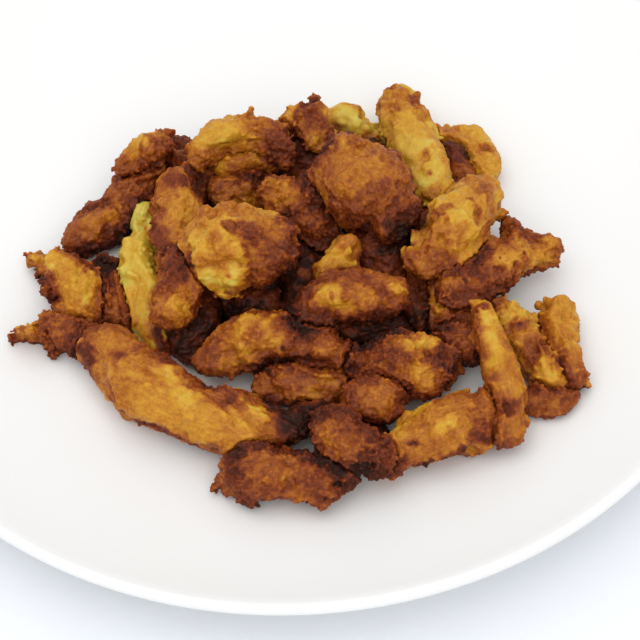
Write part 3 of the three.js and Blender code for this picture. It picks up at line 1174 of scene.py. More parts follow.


# Every path is in pixels of the camera's frame, from its top left. Later dabs cover earlier ones.
# Many DARK and BURNT dabs, along lower edges, in seams and over the gaps of the heap, are painted
# shade; the other dabs give the crust its own colours.
HEAP = (
    Piece("plantain_centre_bridge", BROWN, (
        dab(GOLD, 6, (320, 292), (338, 298), (352, 303)), dab(YELLOW, 3, (326, 289), (340, 295)),
        dab(AMBER, 4.4, (358, 293), (372, 301), (388, 305)), dab(GOLD, 4.5, (394, 292), (405, 288)),
        dab(YELLOW, 2, (402, 286), (408, 290)), dab(RUST, 2.4, (368, 277), (380, 288), (390, 298)),
        dab(BURNT, 0.5, (364, 285)), dab(BROWN, 4, (304, 302), (312, 312), (322, 314)),
        dab(DARK, 4.5, (300, 281), (293, 298), (290, 314)),
        dab(RUST, 3, (314, 277), (340, 275), (362, 276)), dab(BROWN, 3, (376, 276), (400, 279)),
        dab(DARK, 4.5, (290, 318), (310, 324), (345, 322), (380, 316), (411, 310)),
        dab(BURNT, 3, (292, 325), (330, 331), (370, 328)), dab(DARK, 3, (414, 288), (412, 312)),
        dab(BROWN, 2.6, (349, 289)), dab(RUST, 3, (311, 313), (325, 315)),
        dab(DARK, 2.2, (338, 323), (352, 322)), dab(BROWN, 2.4, (405, 298), (390, 300)),
        fringe(4, (284, 318), (300, 330), (322, 334), amount=0.8),
        fringe(2.5, (340, 330), (400, 322), amount=0.5),
        mound(-1.2, 2.6, (368, 276), (380, 288), (392, 299)), mound(1.2, 5, (396, 290)),
        mound(1.0, 6, (325, 295), (345, 300)), mound(-2.6, 4, (316, 266), (340, 263), (360, 265)),
    )),
    Piece("plantain_front_nub", BROWN, (
        dab(AMBER, 5, (368, 396), (388, 402)), dab(RUST, 4, (358, 378), (385, 374)),
        dab(RUST, 3.5, (404, 385), (402, 402)), dab(BROWN, 3, (356, 405), (375, 413)),
        dab(RUST, 2, (350, 384), (352, 394)),
        mound(-0.8, 2, (350, 392), (358, 408)), mound(1.5, 5, (360, 410), (380, 414)),
    )),
    Piece("plantain_centre_pitted", BROWN, (
        dab(RUST, 6, (366, 352), (380, 346), (394, 356)), dab(BROWN, 5, (352, 362), (376, 374)),
        dab(AMBER, 2.4, (400, 344), (414, 342)), dab(AMBER, 2.2, (402, 348), (412, 350)),
        dab(YELLOW, 2.2, (424, 336), (434, 341), (434, 348)),
        dab(BURNT, 0.9, (428, 345), (430, 350)), dab(RUST, 3, (418, 356), (440, 356)),
        dab(YELLOW, 2, (421, 365), (426, 371)), dab(AMBER, 4, (408, 372), (436, 378)),
        dab(GOLD, 3, (422, 384), (430, 388)), dab(DARK, 0.6, (423, 373)),
        dab(BURNT, 0.6, (408, 344)), dab(BROWN, 4, (398, 366), (400, 384)),
        dab(BROWN, 4, (450, 364), (444, 382)), dab(DARK, 2.5, (457, 366), (450, 386)),
        dab(RUST, 2.5, (402, 390), (430, 392)), dab(BURNT, 3, (360, 338), (376, 334), (394, 330)),
        dab(DARK, 2.5, (438, 348), (440, 360)), dab(RUST, 3, (390, 356), (398, 356)),
        dab(DARK, 2.5, (348, 364), (354, 370)), dab(RUST, 2.6, (350, 378)),
        dab(BROWN, 2.4, (430, 347)), dab(RUST, 2.4, (420, 357)), dab(RUST, 2.4, (408, 389)),
        dab(GOLD, 2.4, (412, 345), (430, 338)), dab(GOLD, 2.6, (414, 366), (424, 380)),
        dab(YELLOW, 1.6, (420, 340), (432, 342)), dab(RUST, 2, (408, 359)),
        fringe(4, (454, 370), (446, 386), amount=0.8),
        fringe(3, (406, 330), (436, 332), amount=0.7),
        mound(-1.6, 1.7, (428, 344), (431, 352)),
        mound(1.2, 2.4, (422, 336), (434, 336), (438, 346)),
        mound(-1.2, 1.6, (412, 360), (416, 366)), mound(-1.0, 1.5, (408, 346)),
        mound(1.0, 3, (422, 368)), mound(2.5, 5, (404, 392), (430, 392)),
        mound(-3, 5, (464, 378), (460, 388)),
    ), unevenness=1.3),
    Piece("plantain_right_nub", RUST, (
        dab(DARK, 3, (444, 330), (452, 334)), dab(BROWN, 4, (458, 340), (466, 350)),
        dab(DARK, 3, (455, 364), (474, 362)),
        fringe(3, (440, 345), (450, 362), amount=0.7),
        mound(2.4, 5, (460, 362), (478, 362)),
    ), unevenness=1.3),
    Piece("plantain_front_saddle", RUST, (
        dab(AMBER, 4, (334, 450), (350, 450)), dab(BROWN, 6, (326, 424), (345, 432), (352, 440)),
        dab(AMBER, 2.5, (322, 440), (328, 436)), dab(BROWN, 2.5, (340, 428), (348, 426)),
        dab(BROWN, 5, (378, 446), (390, 452)), dab(DARK, 3, (364, 424), (374, 436)),
        dab(DARK, 3.5, (316, 412), (334, 408), (350, 412)),
        dab(DARK, 2.5, (336, 464), (352, 470), (366, 466)), dab(RUST, 2.5, (346, 420), (350, 428)),
        dab(DARK, 3, (364, 420)), dab(BURNT, 3, (362, 471)),
        fringe(4.5, (364, 462), (380, 458), (396, 450), amount=0.9),
        fringe(3, (312, 420), (314, 445), amount=0.6),
        mound(1.2, 4, (340, 448)), mound(-1.0, 2.5, (360, 420), (366, 446)),
        mound(1.5, 4, (310, 440)),
    ), unevenness=1.3),
    Piece("plantain_right_strip", AMBER, (
        dab(YELLOW, 4.4, (480, 302), (490, 330), (500, 366)),
        dab(PALE, 1.6, (481, 306), (486, 320)), dab(YELLOW, 2, (492, 340), (500, 356)),
        dab(BROWN, 2.6, (469, 306), (474, 330), (482, 356)),
        dab(BROWN, 1.6, (472, 297), (490, 296)), dab(AMBER, 3, (506, 340), (513, 372)),
        dab(BROWN, 2, (486, 379), (496, 378)), dab(GOLD, 4, (503, 390), (512, 396)),
        dab(AMBER, 5, (514, 410), (514, 430)), dab(AMBER, 3.5, (484, 392), (486, 418)),
        dab(RUST, 2, (500, 408), (508, 411)), dab(GOLD, 1.4, (490, 408), (492, 415), (499, 418)),
        dab(BROWN, 3, (498, 446), (522, 440), (530, 420)), dab(RUST, 3, (502, 406), (510, 410)),
        dab(AMBER, 2, (496, 394)), dab(AMBER, 2, (496, 422), (497, 434)), dab(AMBER, 2, (497, 402)),
        fringe(2.5, (474, 300), (486, 298), amount=0.6),
        fringe(2.5, (490, 398), (490, 440), amount=0.5),
        mound(-1.0, 2.4, (500, 407), (509, 411)),
        mound(0.9, 2.4, (489, 406), (493, 418), (506, 420), (516, 412)),
        mound(-3.4, 7, (534, 432), (528, 448), (512, 458), (498, 462)),
        mound(0.8, 4, (486, 322), (498, 356)), mound(2, 5, (482, 440)),
        mound(2, 4, (492, 410), (492, 436)), mound(1.5, 3, (495, 400), (495, 430)),
        mound(-2.4, 4, (528, 440), (512, 450)),
    ), unevenness=0.8),
    Piece("plantain_front_right", GOLD, (
        dab(YELLOW, 4, (388, 434), (406, 434)), dab(YELLOW, 4.5, (438, 424), (456, 426)),
        dab(PALE, 2, (448, 426), (454, 427)), dab(YELLOW, 3, (412, 412), (436, 401)),
        dab(AMBER, 5, (440, 408), (464, 402), (470, 420)), dab(AMBER, 4, (414, 428), (424, 436)),
        dab(AMBER, 4, (420, 450), (440, 443), (476, 436)), dab(AMBER, 5, (398, 460), (430, 456)),
        dab(BROWN, 3, (440, 394), (478, 389)), dab(BROWN, 4, (482, 396), (488, 420)),
        dab(BURNT, 2.4, (428, 466), (444, 460), (462, 454)),
        dab(RUST, 2.2, (474, 438), (484, 438), (492, 434)), dab(DARK, 0.9, (410, 444), (415, 444)),
        dab(DARK, 0.6, (399, 446)), dab(RUST, 3, (378, 470), (400, 469)),
        dab(BURNT, 2, (422, 466), (442, 461)), dab(RUST, 2, (476, 438), (486, 422)),
        dab(BROWN, 2.2, (431, 448)), dab(AMBER, 2.6, (488, 398), (488, 416)),
        fringe(2.5, (385, 476), (430, 466), amount=0.5),
        fringe(2.5, (490, 398), (490, 440), amount=0.5),
        mound(-3.4, 6, (396, 484), (420, 480), (446, 474), (470, 464)),
        mound(-0.9, 1.5, (413, 443)), mound(0.9, 4, (446, 424)),
        mound(-0.8, 2.2, (418, 418), (430, 440)), mound(2, 4, (492, 410), (492, 436)),
        mound(2.2, 4, (422, 466), (442, 461)), mound(-2.4, 3.4, (474, 457)),
        mound(1.5, 3, (488, 398), (488, 430)),
    )),
    Piece("plantain_front_long", GOLD, (
        dab(BROWN, 7, (98, 328), (118, 334), (138, 344)),
        dab(DARK, 3, (84, 334), (82, 348), (88, 362)), dab(BROWN, 4, (100, 348), (116, 352)),
        dab(GOLD, 5, (118, 372), (146, 384)), dab(AMBER, 3.5, (158, 384), (170, 396)),
        dab(YELLOW, 2.4, (164, 370), (176, 376)), dab(YELLOW, 4, (178, 398), (200, 402)),
        dab(PALE, 2, (184, 400), (194, 402)), dab(RUST, 2, (119, 355)),
        dab(BROWN, 4, (140, 346), (156, 358)), dab(RUST, 4, (160, 352), (176, 362), (194, 378)),
        dab(DARK, 3.6, (208, 386), (224, 392), (244, 398)),
        dab(BROWN, 4, (212, 396), (228, 402), (262, 402)),
        dab(BROWN, 1.8, (218, 400), (230, 410), (238, 420)), dab(PALE, 5, (236, 408), (262, 426)),
        dab(RAW, 2, (242, 406), (252, 413)), dab(AMBER, 2, (232, 404), (246, 416), (254, 422)),
        dab(GOLD, 4.4, (262, 426), (268, 438)), dab(RUST, 5, (280, 408), (290, 426)),
        dab(DARK, 5, (292, 404), (302, 414), (300, 430), (286, 442)),
        dab(GOLD, 5, (188, 422), (220, 432)),
        dab(RUST, 2.4, (86, 368), (94, 384), (104, 404), (124, 421), (160, 440), (198, 450)),
        dab(BROWN, 2, (215, 450), (240, 452)),
        dab(AMBER, 5, (96, 366), (104, 388), (122, 406), (140, 420)),
        dab(AMBER, 3, (130, 362), (142, 366)), dab(RUST, 4, (274, 404), (284, 410)),
        dab(DARK, 2.2, (172, 362)), dab(DARK, 2.2, (89, 361)),
        dab(AMBER, 3.4, (96, 336), (106, 346), (120, 342)), dab(BROWN, 2.2, (194, 383)),
        dab(RUST, 3, (226, 402), (238, 396)), dab(BURNT, 2.4, (276, 406)),
        dab(BROWN, 2.6, (270, 439), (294, 440)), dab(DARK, 1.4, (184, 440), (200, 448)),
        dab(BURNT, 4.6, (295, 411), (299, 424)),
        dab(BURNT, 1.2, (128, 425), (160, 437), (190, 449), (206, 454)),
        dab(AMBER, 4, (120, 385), (118, 400)), dab(BROWN, 2.4, (150, 410), (180, 428)),
        dab(BURNT, 6, (294, 410), (297, 422)), dab(AMBER, 3, (266, 430), (264, 438)),
        dab(GOLD, 4, (146, 408), (172, 422), (200, 434)),
        dab(DARK, 1.7, (104, 399), (118, 415), (142, 424), (166, 433), (196, 445)),
        fringe(2, (90, 374), (98, 396), (124, 422), (160, 440), (198, 451), amount=0.4),
        fringe(2.4, (206, 384), (244, 396), amount=0.8),
        mound(-1.3, 5, (74, 340), (76, 356), (90, 386), (102, 406), (124, 426), (160, 444)),
        mound(-1.2, 2, (212, 396), (226, 406), (240, 420)),
        mound(-1.0, 1.8, (232, 402), (248, 415), (258, 424)), mound(0.9, 3, (224, 392), (240, 398)),
        mound(0.8, 4, (182, 400)), mound(-0.8, 3, (150, 360), (166, 376)),
        mound(2.2, 5, (300, 418), (304, 428)), mound(1.5, 4, (244, 396), (262, 398)),
        mound(2, 4, (240, 393), (258, 392)), mound(2, 4, (277, 406)),
        mound(-2.5, 3, (288, 443), (300, 441)), mound(1.6, 4, (288, 438)),
    ), unevenness=0.85, frayed=0.1),
    Piece("plantain_centre_bent", AMBER, (
        dab(BROWN, 7, (198, 362), (214, 352)), dab(RUST, 3, (212, 346), (222, 342)),
        dab(GOLD, 5, (246, 322), (266, 318)), dab(YELLOW, 2.4, (262, 312), (272, 316)),
        dab(YELLOW, 2.6, (241, 334), (245, 352)), dab(GOLD, 4, (268, 334), (280, 344)),
        dab(RUST, 3, (192, 374), (230, 374), (262, 362)), dab(AMBER, 3, (236, 362), (246, 360)),
        dab(DARK, 3.6, (262, 366), (280, 360), (300, 357), (328, 360)),
        dab(AMBER, 3, (290, 347), (316, 346)), dab(GOLD, 3, (324, 346), (334, 350)),
        dab(BROWN, 4, (340, 354), (346, 366)),
        dab(RUST, 5, (286, 324), (300, 334), (318, 336), (338, 338)),
        dab(BURNT, 2, (290, 322), (304, 330)), dab(BURNT, 0.9, (283, 348)),
        dab(RUST, 2.6, (232, 314), (246, 306), (268, 304)), dab(AMBER, 4, (228, 346), (232, 354)),
        dab(BROWN, 2.5, (282, 325)), dab(BROWN, 3.5, (256, 333)),
        dab(BROWN, 3, (322, 341), (332, 352), (344, 358)), dab(DARK, 2.4, (229, 368)),
        dab(BROWN, 2.6, (346, 361)), dab(BROWN, 4, (345, 361)),
        fringe(2.2, (188, 366), (196, 376), amount=0.5),
        fringe(3, (288, 322), (312, 334), amount=0.8),
        mound(-1.5, 3.5, (262, 366), (300, 362), (326, 366)),
        mound(1.0, 3.2, (246, 320), (243, 350)), mound(-1.0, 3.5, (228, 334), (232, 352)),
        mound(1.0, 4, (332, 350)), mound(-1.2, 4, (302, 340)),
        mound(2.5, 6, (196, 366), (220, 370), (246, 368)), mound(-2.2, 3.4, (222, 320), (236, 311)),
    )),
    Piece("plantain_front_inner", AMBER, (
        dab(GOLD, 4, (314, 390), (330, 388)), dab(BROWN, 4, (296, 374), (306, 370)),
        dab(BROWN, 5, (266, 386), (284, 392)), dab(BROWN, 3, (290, 382), (296, 386)),
        dab(RUST, 2.5, (276, 366), (310, 361)), dab(BROWN, 2.5, (342, 376), (344, 396)),
        dab(AMBER, 5, (306, 402), (328, 404)), dab(BURNT, 2.4, (262, 370), (270, 371)),
        dab(BURNT, 3, (342, 402), (346, 408)), dab(RUST, 2.6, (272, 394)), dab(RUST, 3, (335, 399)),
        dab(BROWN, 2.4, (316, 402)), dab(BROWN, 3, (334, 398)), dab(BROWN, 3, (271, 393)),
        dab(DARK, 3, (270, 402), (284, 404)), dab(BROWN, 4, (334, 397)), dab(DARK, 3, (261, 376)),
        dab(DARK, 2.6, (266, 374)),
        fringe(3, (258, 378), (262, 390), amount=0.7),
        mound(3.0, 6, (308, 404), (332, 404)), mound(-1.0, 2.2, (290, 374), (300, 388)),
        mound(2, 4, (257, 384)), mound(2.6, 4, (318, 402)), mound(3, 6, (266, 393), (276, 402)),
    )),
    Piece("plantain_top_left", GOLD, (
        dab(YELLOW, 6, (200, 230), (192, 250)), dab(YELLOW, 6, (236, 244), (248, 258)),
        dab(PALE, 6.5, (202, 276), (222, 283), (240, 276)), dab(RAW, 3, (204, 272), (212, 276)),
        dab(RAW, 3, (226, 270), (232, 278)), dab(AMBER, 4.5, (205, 212), (232, 208)),
        dab(AMBER, 3, (204, 262), (222, 264), (230, 256)), dab(AMBER, 2.6, (214, 236), (218, 252)),
        dab(AMBER, 3, (200, 290), (222, 294)), dab(RUST, 3, (242, 224), (250, 232)),
        dab(RUST, 4, (250, 232), (262, 238)), dab(AMBER, 3, (250, 212), (264, 216)),
        dab(BROWN, 4.5, (252, 288), (257, 270), (261, 256)),
        dab(RUST, 5, (270, 238), (276, 252), (276, 270)),
        dab(DARK, 4.5, (290, 242), (294, 266), (280, 288)), dab(RUST, 3, (270, 284), (256, 292)),
        dab(BROWN, 2.5, (222, 300), (226, 306)), dab(RUST, 2.6, (186, 262), (192, 272)),
        dab(DARK, 0.6, (222, 222)), dab(RUST, 1.6, (226, 226), (234, 228)),
        dab(AMBER, 4, (268, 222), (276, 232)), dab(RUST, 2.5, (286, 220), (290, 228)),
        dab(AMBER, 2.4, (206, 286), (222, 289), (240, 286)), dab(DARK, 3, (289, 226)),
        dab(BROWN, 2, (208, 289), (224, 292), (240, 289)), dab(RUST, 2.4, (223, 206)),
        dab(AMBER, 3, (208, 214), (240, 210)),
        fringe(2.6, (218, 298), (226, 304), amount=0.9),
        fringe(4, (262, 292), (286, 286), (300, 262), (300, 240), amount=0.6),
        fringe(2.5, (186, 240), (190, 262), amount=0.4),
        mound(-1.6, 2, (194, 264), (212, 268), (226, 262), (238, 264)),
        mound(-1.3, 1.8, (208, 236), (212, 256)), mound(1.3, 4.5, (206, 280), (232, 282)),
        mound(1.2, 4.5, (196, 240)), mound(1.3, 4.5, (240, 250)),
        mound(-1.2, 2.4, (228, 226), (236, 236)),
        mound(-1.3, 2.5, (254, 240), (256, 262), (250, 284)), mound(1.0, 4, (214, 222)),
        mound(1.0, 5, (276, 262)), mound(2.5, 4, (294, 230)), mound(2.5, 4, (204, 212)),
        mound(1.5, 4, (212, 292), (240, 292)), mound(2.5, 4, (206, 206), (226, 204)),
        mound(2, 4, (212, 290), (226, 290)), mound(1.6, 4, (236, 292)),
    ), unevenness=1.2),
    Piece("plantain_centre_peak", GOLD, (
        dab(AMBER, 3.6, (343, 240), (354, 246)), dab(BROWN, 2, (346, 238), (352, 242)),
        dab(YELLOW, 3.5, (326, 262), (338, 256)), dab(YELLOW, 2.5, (346, 264), (352, 268)),
        dab(RUST, 3.2, (302, 264), (314, 272)), dab(RUST, 2.4, (362, 246), (366, 268)),
        dab(RUST, 2, (316, 276), (340, 275), (362, 273)), dab(AMBER, 3, (346, 242)),
        mound(-2, 4, (322, 242), (312, 250)), mound(2.2, 6, (310, 268), (338, 266)),
        mound(0.8, 3, (346, 250)), mound(-2, 3, (332, 238)),
        mound(1.8, 3.4, (350, 240), (357, 254)), mound(-2.4, 3.6, (309, 255), (320, 248)),
        mound(-0.8, 3, (346, 250)), mound(1, 4, (346, 242)),
    ), unevenness=0.6),
    Piece("plantain_top_right", GOLD, (
        dab(YELLOW, 4.5, (458, 188), (446, 208)), dab(YELLOW, 4, (466, 206), (452, 226)),
        dab(YELLOW, 4, (450, 236), (462, 250), (472, 244)), dab(AMBER, 4, (478, 178), (490, 190)),
        dab(BROWN, 2, (480, 191), (486, 193)), dab(BROWN, 1.2, (470, 200), (478, 210), (479, 222)),
        dab(BROWN, 1.2, (440, 208), (452, 204)), dab(BROWN, 1.6, (428, 210), (442, 213)),
        dab(BROWN, 1.0, (446, 186), (452, 190)), dab(BROWN, 1.0, (482, 184), (488, 200)),
        dab(AMBER, 2.4, (450, 230), (460, 233)), dab(AMBER, 5, (424, 240), (432, 232)),
        dab(BROWN, 3.6, (412, 256), (426, 252)), dab(AMBER, 4, (436, 250), (446, 256)),
        dab(BROWN, 4.5, (414, 272), (436, 268), (446, 262)), dab(DARK, 2.6, (418, 226), (414, 234)),
        dab(RUST, 3, (412, 277), (440, 280), (462, 268)), dab(AMBER, 3, (497, 205), (492, 240)),
        dab(YELLOW, 2.4, (499, 196), (500, 206)),
        fringe(2, (502, 190), (497, 230), amount=0.3),
        mound(-4.5, 6, (404, 236), (414, 214)), mound(-1.0, 4, (506, 196), (502, 216)),
        mound(-0.9, 1.5, (470, 198), (479, 208), (480, 224)),
        mound(-0.9, 1.4, (426, 217), (442, 213), (454, 204)),
        mound(-0.8, 1.4, (482, 182), (488, 204)),
        mound(-0.8, 1.8, (420, 246), (440, 240), (446, 256)), mound(1.5, 5, (412, 262), (426, 272)),
        mound(-5, 7, (420, 222), (414, 232)),
    )),
    Piece("plantain_top_lump", BROWN, (
        dab(GOLD, 4, (342, 146), (360, 146)), dab(AMBER, 7, (340, 164), (372, 168)),
        dab(AMBER, 4, (340, 188), (358, 198)), dab(BROWN, 4, (376, 146), (396, 158)),
        dab(RUST, 2.5, (374, 140), (390, 150)), dab(AMBER, 2.5, (391, 186), (394, 196)),
        dab(RUST, 2.4, (370, 192), (382, 184)), dab(BROWN, 5, (378, 210), (398, 200), (412, 190)),
        dab(RUST, 5, (336, 212), (360, 214)), dab(DARK, 3.6, (344, 226), (368, 228)),
        dab(BURNT, 4, (398, 228), (408, 236)), dab(DARK, 3, (402, 216), (418, 212)),
        dab(BROWN, 3, (372, 222), (386, 230)),
        dab(DARK, 2.6, (324, 136), (338, 126), (356, 128), (370, 134)),
        dab(DARK, 3, (316, 160), (322, 146)), dab(AMBER, 3, (318, 180), (326, 194)),
        dab(BROWN, 2.6, (324, 160), (328, 170)), dab(RUST, 2.6, (345, 222)),
        dab(BROWN, 3, (344, 222)), dab(AMBER, 4, (354, 142), (372, 141)),
        dab(BURNT, 2.6, (392, 229)), dab(BROWN, 4, (344, 222)),
        fringe(4.5, (322, 142), (336, 130), (358, 132), amount=0.6),
        mound(2.0, 5, (336, 134), (356, 134)), mound(-3.4, 9, (412, 144), (420, 160)),
        mound(1.2, 4, (384, 232)), mound(-1.2, 3, (366, 226), (372, 212)),
        mound(-1.2, 3, (398, 232), (404, 220)), mound(-0.8, 2, (330, 182), (352, 204), (364, 208)),
        mound(-0.8, 2, (376, 176), (384, 190), (380, 204)), mound(2.5, 4, (412, 202)),
        mound(2.6, 5, (343, 222), (350, 224)),
    ), unevenness=1.1, frayed=0.1),
    Piece("plantain_back_frilled", PALE, (
        dab(AMBER, 5, (386, 104), (400, 104), (420, 108)), dab(AMBER, 3, (394, 92), (402, 94)),
        dab(BROWN, 2, (396, 88), (402, 90)), dab(BROWN, 2.2, (410, 101), (416, 98)),
        dab(BROWN, 2, (377, 94), (379, 102)), dab(GOLD, 4, (388, 118), (400, 122), (384, 132)),
        dab(YELLOW, 4, (412, 118), (420, 132)), dab(GOLD, 3, (434, 124), (440, 146), (448, 168)),
        dab(BROWN, 1.5, (426, 153), (427, 160)), dab(YELLOW, 1.4, (424, 168), (438, 152)),
        dab(BROWN, 1.0, (430, 173)), dab(YELLOW, 3, (392, 140), (408, 160)),
        dab(GOLD, 2.4, (440, 190), (424, 196)), dab(AMBER, 2.4, (425, 197)),
        fringe(2, (376, 94), (380, 104), amount=0.5), fringe(2.4, (392, 90), (402, 88), amount=0.4),
        fringe(2.4, (412, 96), (422, 102), amount=0.7),
        mound(1.5, 3, (392, 94), (402, 93)), mound(2.4, 1.8, (377, 96)), mound(2.2, 2.2, (416, 96)),
        mound(1.6, 3.5, (384, 112), (386, 120)), mound(1.2, 3.5, (424, 110)),
        mound(1.0, 1.4, (424, 168), (438, 152)), mound(-1.0, 1.6, (426, 153), (427, 160)),
        mound(-1.8, 4, (374, 116), (380, 134)), mound(-1.6, 4, (436, 118), (440, 134)),
        mound(1.5, 3, (382, 102), (422, 104)), mound(1.6, 4, (420, 196)), mound(-2, 3, (385, 90)),
        mound(-2, 3, (410, 92)), mound(-1.6, 4, (428, 104), (430, 114)), mound(2.0, 2, (397, 89)),
    ), unevenness=0.7),
    Piece("plantain_centre_slant", BROWN, (
        dab(AMBER, 6, (276, 186), (272, 202)), dab(AMBER, 4, (280, 190), (286, 202)),
        dab(DARK, 4, (306, 180), (316, 194)), dab(RUST, 3, (290, 200), (302, 204)),
        dab(DARK, 4, (316, 208), (324, 216), (334, 224)), dab(DARK, 4, (288, 216), (300, 222)),
        dab(BROWN, 3, (300, 230), (310, 226)), dab(BROWN, 2.4, (304, 222), (314, 224)),
        dab(GOLD, 1.4, (318, 232), (330, 232)), dab(RUST, 2.4, (262, 184), (268, 176), (286, 172)),
        dab(DARK, 3, (300, 242), (318, 244)), dab(RUST, 4, (336, 228), (342, 238)),
        dab(AMBER, 3, (286, 199)), dab(DARK, 3, (310, 234), (325, 238)),
        dab(DARK, 2.4, (262, 178), (263, 190)), dab(DARK, 3.4, (264, 180), (264, 192)),
        dab(RUST, 3, (308, 232), (326, 236)), dab(AMBER, 3.4, (277, 184), (284, 190)),
        fringe(2.5, (300, 240), (330, 238), amount=0.5),
        mound(4, 6, (258, 198), (264, 208), (292, 228)), mound(1.0, 4, (284, 188)),
        mound(-1.2, 2.6, (300, 196), (308, 214)), mound(1.2, 3, (322, 222)),
        mound(-1.0, 2, (312, 206), (330, 212)),
    ), unevenness=1.3),
    Piece("plantain_back_curl", GOLD, (
        dab(YELLOW, 6, (214, 138), (242, 130)), dab(PALE, 2, (222, 140), (234, 136)),
        dab(AMBER, 4.5, (192, 150), (194, 168)), dab(BROWN, 2, (200, 176), (206, 164)),
        dab(AMBER, 3, (206, 126), (218, 122)), dab(AMBER, 5, (250, 124), (264, 134), (262, 146)),
        dab(BROWN, 3, (244, 117), (262, 114), (278, 122)),
        dab(RUST, 4.5, (278, 134), (288, 146), (292, 156)),
        dab(RUST, 4, (272, 148), (278, 160), (266, 166)), dab(BROWN, 3, (208, 151), (222, 148)),
        dab(AMBER, 2.5, (246, 109), (254, 112)), dab(BURNT, 0.5, (230, 122), (231, 127)),
        dab(RUST, 2, (248, 122), (256, 118)), dab(AMBER, 2.5, (244, 124), (258, 116)),
        dab(AMBER, 2.6, (224, 147)), dab(AMBER, 3, (246, 152), (256, 148)),
        dab(DARK, 3.4, (302, 128), (304, 150), (298, 168)), dab(DARK, 3.4, (270, 158), (284, 150)),
        dab(RUST, 3, (266, 153)), dab(AMBER, 4, (254, 149)), dab(YELLOW, 5, (204, 134), (226, 128)),
        fringe(2.2, (246, 112), (254, 109), amount=0.6),
        fringe(2.5, (268, 140), (276, 162), amount=0.5),
        mound(-1.6, 4.5, (240, 112), (262, 112), (280, 118)), mound(2.6, 1.8, (251, 110)),
        mound(1.0, 5, (226, 136)), mound(-1.2, 2.6, (208, 152), (226, 146), (246, 142)),
        mound(-1.0, 2.2, (258, 124), (262, 140)), mound(1.4, 5, (252, 152), (262, 160)),
        mound(-1.8, 2.4, (246, 118), (252, 132), (258, 150)),
        mound(-3.5, 6, (304, 126), (310, 150), (304, 170)),
    ), unevenness=1.2),
    Piece("plantain_back_inner", YELLOW, (
        dab(YELLOW, 4, (226, 160), (246, 154)), dab(GOLD, 3.6, (254, 156), (262, 162)),
        dab(YELLOW, 3, (222, 168), (244, 170)), dab(BROWN, 3, (262, 168), (274, 172)),
        dab(BURNT, 1.0, (242, 150)), dab(AMBER, 4, (236, 168), (256, 168)),
        mound(2.6, 9, (234, 162), (252, 164)), mound(-1.0, 2.4, (236, 168), (238, 158)),
    ), unevenness=1.1),
    Piece("plantain_back_nub", AMBER, (
        dab(BROWN, 5, (216, 186), (232, 190)), dab(AMBER, 4, (236, 190), (250, 190)),
        dab(GOLD, 3, (246, 198), (258, 198)), dab(BROWN, 3, (212, 200), (226, 204)),
        dab(DARK, 3, (244, 180), (256, 182), (268, 186)), dab(AMBER, 3, (234, 188), (252, 197)),
        dab(DARK, 2.2, (246, 182)), dab(DARK, 2.6, (262, 174), (266, 186), (262, 200)),
        dab(DARK, 3, (262, 182)),
        mound(2.4, 8, (220, 192), (244, 192)), mound(1.8, 4, (212, 202)),
        mound(-1.0, 2.2, (234, 186), (236, 200)), mound(3, 5, (208, 206), (256, 202)),
    ), unevenness=1.2),
    Piece("plantain_left_stub", BROWN, (
        dab(AMBER, 6, (170, 296), (174, 314)), dab(GOLD, 3, (178, 304), (184, 308)),
        dab(AMBER, 4, (188, 286), (198, 284)), dab(BROWN, 3.4, (152, 312), (164, 326), (188, 324)),
        dab(RUST, 2.5, (198, 302), (194, 314)), dab(RUST, 3.5, (162, 284), (176, 276)),
        dab(DARK, 3.6, (184, 266), (194, 264)), dab(DARK, 4, (176, 262), (188, 256)),
        dab(RUST, 2.6, (175, 259)),
        mound(-1.0, 2.4, (168, 284), (184, 296)), mound(1.0, 4, (172, 306)),
    ), unevenness=1.2),
    Piece("plantain_left_upright", AMBER, (
        dab(AMBER, 6, (168, 192), (182, 222), (174, 242)), dab(GOLD, 4, (184, 210), (180, 238)),
        dab(BROWN, 3.5, (162, 184), (170, 174)), dab(RUST, 3.2, (164, 168), (190, 166)),
        dab(DARK, 2.2, (150, 200), (153, 230), (160, 258)), dab(DARK, 3.6, (192, 176), (202, 200)),
        dab(BURNT, 1.0, (170, 253)), dab(RUST, 2.4, (184, 250), (186, 262)),
        dab(RUST, 3.4, (156, 228), (160, 244)), dab(GOLD, 2.6, (186, 192), (190, 200)),
        dab(GOLD, 2, (153, 262)), dab(AMBER, 2.4, (155, 262)),
        mound(-3.6, 5.5, (142, 208), (145, 236), (152, 262)), mound(0.8, 5, (178, 224)),
    )),
    Piece("plantain_front_slab", BROWN, (
        dab(BROWN, 3.4, (256, 470), (262, 484)), dab(BROWN, 3.4, (276, 470), (280, 490)),
        dab(BROWN, 3, (296, 466), (300, 482)), dab(AMBER, 3.5, (318, 500), (328, 500)),
        dab(DARK, 3.6, (232, 452), (235, 486)), dab(DARK, 3, (242, 447), (300, 448), (324, 460)),
        dab(BURNT, 3, (306, 452), (336, 470)), dab(AMBER, 2, (216, 462), (218, 486)),
        dab(RUST, 4, (242, 496), (262, 500)), dab(GOLD, 1.8, (226, 498), (232, 500)),
        dab(RUST, 3.4, (334, 476), (352, 478)), dab(RUST, 2.6, (338, 494), (354, 486)),
        dab(AMBER, 2, (286, 478), (304, 474)), dab(RUST, 3.6, (303, 477), (312, 486), (320, 491)),
        dab(BURNT, 2.6, (336, 470)),
        fringe(3, (214, 456), (218, 486), (236, 502), (264, 505), amount=0.5),
        fringe(3, (318, 504), (332, 500)), fringe(3.4, (340, 494), (360, 482), amount=0.8),
        mound(-3.4, 5, (204, 456), (204, 488), (222, 508)), mound(-2.2, 5, (262, 512), (302, 513)),
        mound(-3.4, 6, (348, 504), (368, 490)), mound(1.6, 3.2, (324, 504)),
        mound(1.0, 3.2, (248, 504)), mound(-1.0, 2.2, (246, 456), (247, 488)),
        mound(-0.8, 2.2, (286, 462), (290, 492)), mound(-1.5, 4, (280, 440), (302, 442)),
